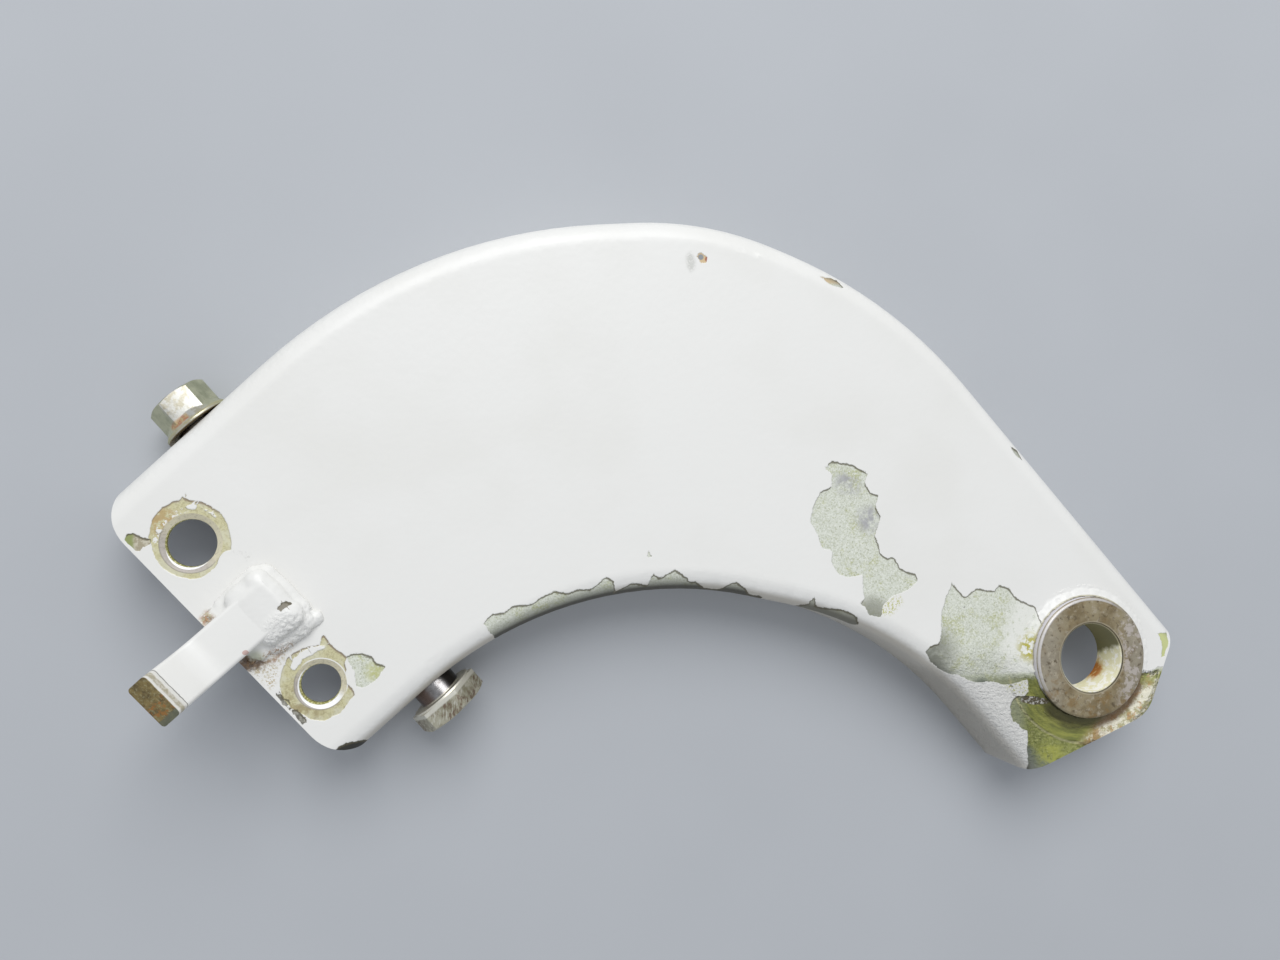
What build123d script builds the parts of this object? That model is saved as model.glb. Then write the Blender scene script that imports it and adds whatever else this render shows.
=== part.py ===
from build123d import *
from math import atan2, cos, degrees, hypot, radians, sin, sqrt, tan
import os

# Frame: the origin is on the damper bore's axis at the arm's outer face, +Z out of that face.
# The arm reaches along -X from the damper bore to the heel with the two mounting holes.
# All lengths are in millimetres and all angles in degrees.

# Folded sheet steel channel
sheet = 2.3
channel_depth = 19.0
bend_radius = 5.0
least_inner_bend = 0.3

# Outer edge of the face, from the heel over the back to the damper end
heel_back_angle = 44.75
back_heel = (-158.0, 94.0)
back_heel_radius = 116.0
back_crown = (-92.5, 100.5)
back_crown_radius = 75.0
back_brow = (-47.5, 84.5)
back_brow_radius = 108.0
tip_back_angle = -47.4

# Inner edge of the face, from the damper end to the heel
toe_throat_angle = -48.4
throat_toe = (-45.4, 7.5)
throat_toe_radius = 88.0
throat_heel = (-123.1, 24.3)
throat_heel_radius = 82.0
heel_throat_angle = 41.2

# Cut at the damper end, which follows the bushing
tip_cut_angle = 68.5
tip_cut_margin = 6.7
toe_cut_angle = 21.7
toe_cut_margin = 5.3
tip_corner_radius = 2.5
nose_corner_radius = 9.0
toe_corner_radius = 4.0

# Cut at the heel, beside the mounting holes
heel_cut_angle = -47.9
heel_cut_margin = 9.2
heel_corner_radius = 10.0
cut_overrun = 20.0
corner_relief = 1.0

# Mounting holes in the face, with chamfered mouths
upper_mount_centre = (-199.7, 28.6)
mount_spacing = 38.1
mount_line_angle = -49.2
upper_mount_bore = 9.525
lower_mount_bore = 7.94
mouth_chamfer = 1.2

# Damper bushing and its weld beads
bushing_outer = 28.575
bushing_bore = 15.875
bushing_length = 9.525
bushing_stand = 2.6
bushing_edge = 0.5
bushing_bore_edge = 0.4
weld_gap = 0.02
front_bead_width = 2.9
front_bead_height = 1.3
rear_bead_width = 2.5
rear_bead_height = 2.0
bead_hollow = 0.07

# Stop strap: a flat bar welded to the face between the mounting holes and bent up past the heel
strap_width = 9.525
strap_thickness = 4.76
strap_corner = 0.8
strap_seat = 14.8
strap_overhang = 1.0
strap_bend_inner = 5.6
strap_bend_angle = 65.0
strap_tip_length = 9.3
strap_bead_width = 2.6
strap_bead_height = 2.9
strap_bead_taper = 38.0
strap_bead_setback = 0.8

# Cross bolt through both flanges, beside the line of the mounting holes, and its self-locking nut
bolt_shank = 9.525
bolt_hole_clearance = 0.2
bolt_setback = 15.6
bolt_head_flats = 14.29
bolt_head_height = 4.8
bolt_head_stand = 3.5
bolt_head_turn = 22.0
bolt_washer_face = 0.4
bolt_point_chamfer = 1.0
bolt_point_stand = 0.5
nut_flats = 11.11
nut_height = 7.3
nut_flange = 14.6
nut_flange_rim = 0.5
nut_cone_height = 2.6
nut_seat_gap = 0.6
nut_turn = 34.0
nut_thread_gap = 0.02
nut_bore_edge = 0.5
hex_chamfer_angle = 30.0


def along(start, angle, distance):
    """Point at a distance from start in the direction of angle."""
    return (start[0] + distance * cos(radians(angle)), start[1] + distance * sin(radians(angle)))


def meet(p, angle_p, q, angle_q):
    """Point where the line through p at angle_p crosses the line through q at angle_q."""
    turn = sin(radians(angle_q - angle_p))
    gap_x, gap_y = q[0] - p[0], q[1] - p[1]
    reach = (gap_x * sin(radians(angle_q)) - gap_y * cos(radians(angle_q))) / turn
    return along(p, angle_p, reach)


def heading(start, finish):
    """Angle of the direction from start to finish."""
    return degrees(atan2(finish[1] - start[1], finish[0] - start[0]))


def corner_arc(before, corner, after, radius):
    """First, middle and last point of the arc that rounds a corner."""
    back, ahead = heading(corner, before), heading(corner, after)
    half = ((ahead - back + 180) % 360 - 180) / 2
    reach = radius / tan(radians(abs(half)))
    depth = radius / sin(radians(abs(half))) - radius
    return along(corner, back, reach), along(corner, back + half, depth), along(corner, ahead, reach)


def rounded(corners):
    """Face inside a closed polyline whose corners are (point, radius) pairs."""
    points = [point for point, radius in corners]
    arcs = [
        corner_arc(before, point, after, radius)
        for before, (point, radius), after in zip(
            points[-1:] + points[:-1], corners, points[1:] + points[:1]
        )
    ]
    bends = [ThreePointArc(*arc) for arc, (point, radius) in zip(arcs, corners) if radius > 0]
    straights = [Line(arc[2], following[0]) for arc, following in zip(arcs, arcs[1:] + arcs[:1])]
    return make_face(bends + straights)


# Lines that several pieces share
bushing_radius = bushing_outer / 2
damper_axis = (0.0, 0.0)
tip_cut_point = along(damper_axis, tip_cut_angle - 90, bushing_radius + tip_cut_margin)
toe_cut_point = along(damper_axis, toe_cut_angle - 90, bushing_radius + toe_cut_margin)
heel_cut_point = along(upper_mount_centre, heel_cut_angle - 90, heel_cut_margin)
lower_mount_centre = along(upper_mount_centre, mount_line_angle, mount_spacing)

tip_corner = meet(back_brow, tip_back_angle, tip_cut_point, tip_cut_angle)
toe_corner = meet(toe_cut_point, toe_cut_angle, throat_toe, toe_throat_angle)
heel_throat_corner = meet(throat_heel, heel_throat_angle, heel_cut_point, heel_cut_angle)
heel_back_corner = meet(back_heel, heel_back_angle, heel_cut_point, heel_cut_angle)

bolt_middle = along(
    along(upper_mount_centre, mount_line_angle, mount_spacing / 2),
    mount_line_angle + 90,
    bolt_setback,
)
bolt_level = -channel_depth / 2
back_face_point = meet(bolt_middle, mount_line_angle, back_heel, heel_back_angle)
throat_face_point = meet(bolt_middle, mount_line_angle, throat_heel, heel_throat_angle)
nut_seat = along(back_face_point, mount_line_angle + 180, nut_seat_gap)
head_seat = along(throat_face_point, mount_line_angle, bolt_head_stand)
grip = hypot(nut_seat[0] - head_seat[0], nut_seat[1] - head_seat[1])

strap_angle = heel_cut_angle - 90
strap_edge_point = along(heel_cut_point, heel_cut_angle, mount_spacing / 2)


def moved_right(points, distance):
    """Open polyline moved sideways, to the right of its direction of travel."""
    angles = [heading(p, q) for p, q in zip(points, points[1:])]
    starts = [along(p, angle - 90, distance) for p, angle in zip(points, angles)]
    inner = [
        meet(here, angle, after, after_angle)
        for here, angle, after, after_angle in zip(starts, angles, starts[1:], angles[1:])
    ]
    return [starts[0], *inner, along(points[-1], angles[-1] - 90, distance)]


def long_edges(inset):
    """Corner points of the face's back and throat edges, moved inwards and run past both ends."""
    back = [
        along(heel_back_corner, heel_back_angle, -cut_overrun),
        back_heel,
        back_crown,
        back_brow,
        along(tip_corner, tip_back_angle, cut_overrun),
    ]
    throat = [
        along(toe_corner, toe_throat_angle, cut_overrun),
        throat_toe,
        throat_heel,
        along(heel_throat_corner, heel_throat_angle, -cut_overrun),
    ]
    return moved_right(back, inset), moved_right(throat, inset)


def long_edge_radii(inset):
    """Corner radii that belong to the moved back and throat edges."""
    back = [back_heel_radius - inset, back_crown_radius - inset, back_brow_radius - inset]
    throat = [throat_toe_radius + inset, throat_heel_radius + inset]
    return back, throat


def channel_body(inset, edge_radius, bottom):
    """Solid block between the two long edges, run out past both ends, with its top edges rounded."""
    back, throat = long_edges(inset)
    back_radii, throat_radii = long_edge_radii(inset)
    radii = [0, *back_radii, 0, 0, *throat_radii, 0]
    blank = rounded(list(zip(back + throat, radii)))
    block = Pos(0, 0, bottom) * extrude(blank, -bottom - inset, dir=(0, 0, 1))
    top = block.edges().group_by(Axis.Z)[-1]
    ends = [nearest_edge(top, throat[-1], back[0]), nearest_edge(top, back[-1], throat[0])]
    return fillet([edge for edge in top if edge not in ends], edge_radius)


def end_trim():
    """Block that passes outside the long edges and carries the cuts of both ends."""
    back, throat = long_edges(-corner_relief)
    back_radii, throat_radii = long_edge_radii(-corner_relief)
    corners = [
        (meet(back[0], heel_back_angle, heel_cut_point, heel_cut_angle), heel_corner_radius),
        *zip(back[1:-1], back_radii),
        (meet(back[-1], tip_back_angle, tip_cut_point, tip_cut_angle), tip_corner_radius),
        (meet(tip_cut_point, tip_cut_angle, toe_cut_point, toe_cut_angle), nose_corner_radius),
        (meet(throat[0], toe_throat_angle, toe_cut_point, toe_cut_angle), toe_corner_radius),
        *zip(throat[1:-1], throat_radii),
        (meet(throat[-1], heel_throat_angle, heel_cut_point, heel_cut_angle), heel_corner_radius),
    ]
    block = extrude(rounded(corners), 2 * channel_depth, dir=(0, 0, 1))
    return Pos(0, 0, -1.5 * channel_depth) * block


def nearest_edge(edges, start, finish):
    """Edge whose middle lies nearest to halfway between start and finish."""
    halfway = Vector((start[0] + finish[0]) / 2, (start[1] + finish[1]) / 2)
    return min(edges, key=lambda edge: (edge.center() - halfway).length)


def mouth_cutter(centre, bore):
    """Through hole in the face with a chamfered mouth."""
    hole = Cylinder(bore / 2, 4 * sheet)
    mouth = Cone(bore / 2, bore / 2 + 2 * mouth_chamfer, 2 * mouth_chamfer)
    return Pos(*centre, 0) * (hole + mouth)


def bolt_place(point):
    """Frame on the bolt's axis at a point, with +Z from the head to the nut."""
    towards_nut = Vector(*along(damper_axis, mount_line_angle + 180, 1))
    return Plane(origin=(*point, bolt_level), x_dir=(0, 0, 1), z_dir=towards_nut)


def arm_channel():
    """Boomerang-shaped channel, open at the back and at both ends."""
    outer = channel_body(0, bend_radius, -channel_depth)
    inner_bend = max(bend_radius - sheet, least_inner_bend)
    hollow = channel_body(sheet, inner_bend, -2 * channel_depth)
    channel = (outer - hollow) & end_trim()
    channel -= mouth_cutter(upper_mount_centre, upper_mount_bore)
    channel -= mouth_cutter(lower_mount_centre, lower_mount_bore)
    channel -= Cylinder(bushing_radius + weld_gap, 4 * sheet)
    bolt_hole = Cylinder(bolt_shank / 2 + bolt_hole_clearance, 2 * grip)
    return channel - bolt_place(bolt_middle) * bolt_hole


def damper_bushing():
    """Turned bushing that stands proud of the face, with broken edges."""
    bore_radius = bushing_bore / 2
    bottom = bushing_stand - bushing_length
    profile = Polyline(
        (bore_radius, bottom + bushing_bore_edge),
        (bore_radius + bushing_bore_edge, bottom),
        (bushing_radius - bushing_edge, bottom),
        (bushing_radius, bottom + bushing_edge),
        (bushing_radius, bushing_stand - bushing_edge),
        (bushing_radius - bushing_edge, bushing_stand),
        (bore_radius + bushing_bore_edge, bushing_stand),
        (bore_radius, bushing_stand - bushing_bore_edge),
        close=True,
    )
    return revolve(make_face(Plane.XZ * profile), Axis.Z)


def ring_bead(width, height):
    """Hollow-faced weld bead round the bushing, on the plane z = 0."""
    inner = bushing_radius + weld_gap
    toe, crest = (inner + width, 0), (inner, height)
    waist = (inner + width / 2 - bead_hollow * height, height / 2 - bead_hollow * width)
    profile = Line((inner, 0), toe) + ThreePointArc(toe, waist, crest) + Line(crest, (inner, 0))
    return revolve(make_face(Plane.XZ * profile), Axis.Z)


def bushing_front_bead():
    """Low bead on the outer face."""
    return ring_bead(front_bead_width, front_bead_height)


def bushing_rear_bead():
    """Fillet bead on the inside of the channel."""
    return Pos(0, 0, -sheet) * (Rot(180, 0, 0) * ring_bead(rear_bead_width, rear_bead_height))


def strap_place():
    """Frame on the heel edge of the face, with +X outwards along the strap and +Z up."""
    outwards = Vector(*along(damper_axis, strap_angle, 1))
    return Plane(origin=(*strap_edge_point, 0), x_dir=outwards, z_dir=(0, 0, 1))


def stop_strap():
    """Rolled flat bar: a straight seat, one bend and a straight tip."""
    half = strap_thickness / 2
    seat = Line((-strap_seat, 0, half), (strap_overhang, 0, half))
    mean_radius = strap_bend_inner + half
    centre = (strap_overhang, 0, half + mean_radius)
    bend_end = (
        strap_overhang + mean_radius * sin(radians(strap_bend_angle)),
        0,
        centre[2] - mean_radius * cos(radians(strap_bend_angle)),
    )
    bend = TangentArc(seat @ 1, bend_end, tangent=seat % 1)
    tip_end = bend @ 1 + (bend % 1) * strap_tip_length
    path = seat + bend + Line(bend @ 1, tip_end)
    start = Plane(origin=seat @ 0, x_dir=(0, 1, 0), z_dir=(1, 0, 0))
    section = start * RectangleRounded(strap_width, strap_thickness, strap_corner)
    return strap_place() * sweep(section, path=path)


def stop_strap_bead():
    """Weld bead round the strap's seat, open at the heel edge."""
    length = strap_seat - strap_bead_setback + strap_bead_width
    footprint = Rectangle(length, strap_width + 2 * strap_bead_width, align=(Align.MIN, Align.CENTER))
    rounded_foot = fillet(footprint.vertices().group_by(Axis.X)[0], strap_bead_width)
    pad = extrude(rounded_foot, strap_bead_height, taper=strap_bead_taper)
    pad = Pos(-strap_seat - strap_bead_width, 0, 0) * pad
    return strap_place() * pad - stop_strap()


def hexagon(flats, height):
    """Hexagonal prism on z = 0 with its far corners turned down."""
    prism = extrude(RegularPolygon(flats / 2, 6, major_radius=False), height)
    corner = flats / sqrt(3)
    drop = (corner - flats / 2) * sin(radians(hex_chamfer_angle)) / cos(radians(hex_chamfer_angle))
    turned = Cylinder(corner, height - drop, align=(Align.CENTER, Align.CENTER, Align.MIN))
    turned += Pos(0, 0, height - drop) * Cone(
        corner, flats / 2, drop, align=(Align.CENTER, Align.CENTER, Align.MIN)
    )
    return prism & turned


def cross_bolt():
    """Hexagon head, washer face and shank that ends inside the nut."""
    head = hexagon(bolt_head_flats, bolt_head_height - bolt_washer_face)
    head = Rot(0, 0, bolt_head_turn) * (Rot(180, 0, 0) * head)
    head = Pos(0, 0, -bolt_washer_face) * head
    face = Cylinder(
        bolt_head_flats / 2, bolt_washer_face, align=(Align.CENTER, Align.CENTER, Align.MAX)
    )
    length = grip + nut_height - bolt_point_stand
    shank = Cylinder(bolt_shank / 2, length, align=(Align.CENTER, Align.CENTER, Align.MIN))
    shank = chamfer(shank.edges().group_by(Axis.Z)[-1], bolt_point_chamfer)
    return bolt_place(head_seat) * (head + face + shank)


def lock_nut():
    """Reduced hexagon above a conical flange."""
    rim = Cylinder(nut_flange / 2, nut_flange_rim, align=(Align.CENTER, Align.CENTER, Align.MIN))
    cone = Pos(0, 0, nut_flange_rim) * Cone(
        nut_flange / 2,
        nut_flats / 2,
        nut_cone_height - nut_flange_rim,
        align=(Align.CENTER, Align.CENTER, Align.MIN),
    )
    body = rim + cone + Rot(0, 0, nut_turn) * hexagon(nut_flats, nut_height)
    bore_radius = bolt_shank / 2 + nut_thread_gap
    bore = Cylinder(bore_radius, 4 * nut_height)
    lead = Cone(bore_radius + 2 * nut_bore_edge, bore_radius, 2 * nut_bore_edge)
    return bolt_place(nut_seat) * (body - bore - lead)


nodes = {
    "arm_channel": arm_channel,
    "damper_bushing": damper_bushing,
    "bushing_front_bead": bushing_front_bead,
    "bushing_rear_bead": bushing_rear_bead,
    "stop_strap": stop_strap,
    "stop_strap_bead": stop_strap_bead,
    "cross_bolt": cross_bolt,
    "lock_nut": lock_nut,
}

os.makedirs("parts", exist_ok=True)
for name, build in nodes.items():
    export_step(build(), f"parts/{name}.step")
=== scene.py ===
import logging
import math
from collections.abc import Iterator
from contextlib import contextmanager
from dataclasses import dataclass
from enum import Enum

import bmesh
import bpy
import numpy as np
from mathutils import Matrix, Vector


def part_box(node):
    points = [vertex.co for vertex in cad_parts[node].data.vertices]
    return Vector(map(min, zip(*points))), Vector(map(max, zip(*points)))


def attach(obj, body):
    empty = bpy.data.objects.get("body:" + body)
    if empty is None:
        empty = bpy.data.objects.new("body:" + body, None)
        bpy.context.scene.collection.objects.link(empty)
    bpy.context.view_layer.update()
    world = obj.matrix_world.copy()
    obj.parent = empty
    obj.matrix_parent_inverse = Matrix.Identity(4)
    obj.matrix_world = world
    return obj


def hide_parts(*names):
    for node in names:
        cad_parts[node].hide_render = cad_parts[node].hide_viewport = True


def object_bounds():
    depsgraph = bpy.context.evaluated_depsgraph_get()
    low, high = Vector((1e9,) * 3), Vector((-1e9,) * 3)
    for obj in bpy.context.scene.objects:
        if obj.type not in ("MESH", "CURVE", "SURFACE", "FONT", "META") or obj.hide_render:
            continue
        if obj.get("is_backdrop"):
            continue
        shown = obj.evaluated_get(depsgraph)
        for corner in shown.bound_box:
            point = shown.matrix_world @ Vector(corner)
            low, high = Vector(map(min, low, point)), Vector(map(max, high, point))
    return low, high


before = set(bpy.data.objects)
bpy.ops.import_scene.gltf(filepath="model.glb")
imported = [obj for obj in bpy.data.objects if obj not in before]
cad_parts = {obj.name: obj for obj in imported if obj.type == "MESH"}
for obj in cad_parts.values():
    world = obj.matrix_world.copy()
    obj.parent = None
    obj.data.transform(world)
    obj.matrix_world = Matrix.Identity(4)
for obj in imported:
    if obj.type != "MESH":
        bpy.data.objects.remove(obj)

log = logging.getLogger("shimmy_damper_arm")

Socket = bpy.types.NodeSocket
Value = Socket | float
Tone = Socket | str
Place = tuple[float, float]
Triple = tuple[float, float, float]
Way = Socket | Vector | Triple

MM = 0.001
MERGE = 0.002 * MM
CUT_SLACK = 1e-7

# Places on the part, in millimetres in the part's frame
ORIGIN = (0.0, 0.0, 0.0)
UP = (0.0, 0.0, 1.0)
BUSHING_AXIS = (0.0, 0.0)
BUSHING_RADIUS = 14.29
BORE_RADIUS = 7.94
UPPER_HOLE = (-199.7, 28.6)
LOWER_HOLE = (-174.8, -0.24)
UPPER_MOUTH_RADIUS = 5.96
LOWER_MOUTH_RADIUS = 5.17
BOLT_CENTRE = (-175.44, 24.37, -9.5)
BOLT_ANGLE = -49.2
HEAD_SEAT_ALONG = 38.03
NUT_SEAT_ALONG = -37.86
STRAP_EDGE = (-194.4, 7.95)
STRAP_ANGLE = 222.1
STRAP_THICKNESS = 4.76
STRAP_HALF_WIDTH = 4.76
STRAP_BEND = 65.0
STRAP_TRAVEL = 16.6
LIGHT_SIDE = (0.35, 0.94)


class Shade(Enum):
    """Smoothing limits of a mesh, in degrees between neighbouring faces."""

    ROLLED = 35.0
    MACHINED = 28.0
    CAST = 80.0


class Wear(Enum):
    """What shows inside an outline on the face."""

    PRIMER = "primer"
    PLATE = "plate"
    SPECKS = "specks"
    RUST = "rust"
    PAINT = "paint"


@dataclass(frozen=True)
class Patch:
    """One worn place of the paint, or one place where paint is left on a worn one.

    Args:
        name: What the place is; not used.
        wear: What shows there.
        outline: Corner points in millimetres on the face.
    """

    name: str
    wear: Wear
    outline: tuple[Place, ...]


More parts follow.
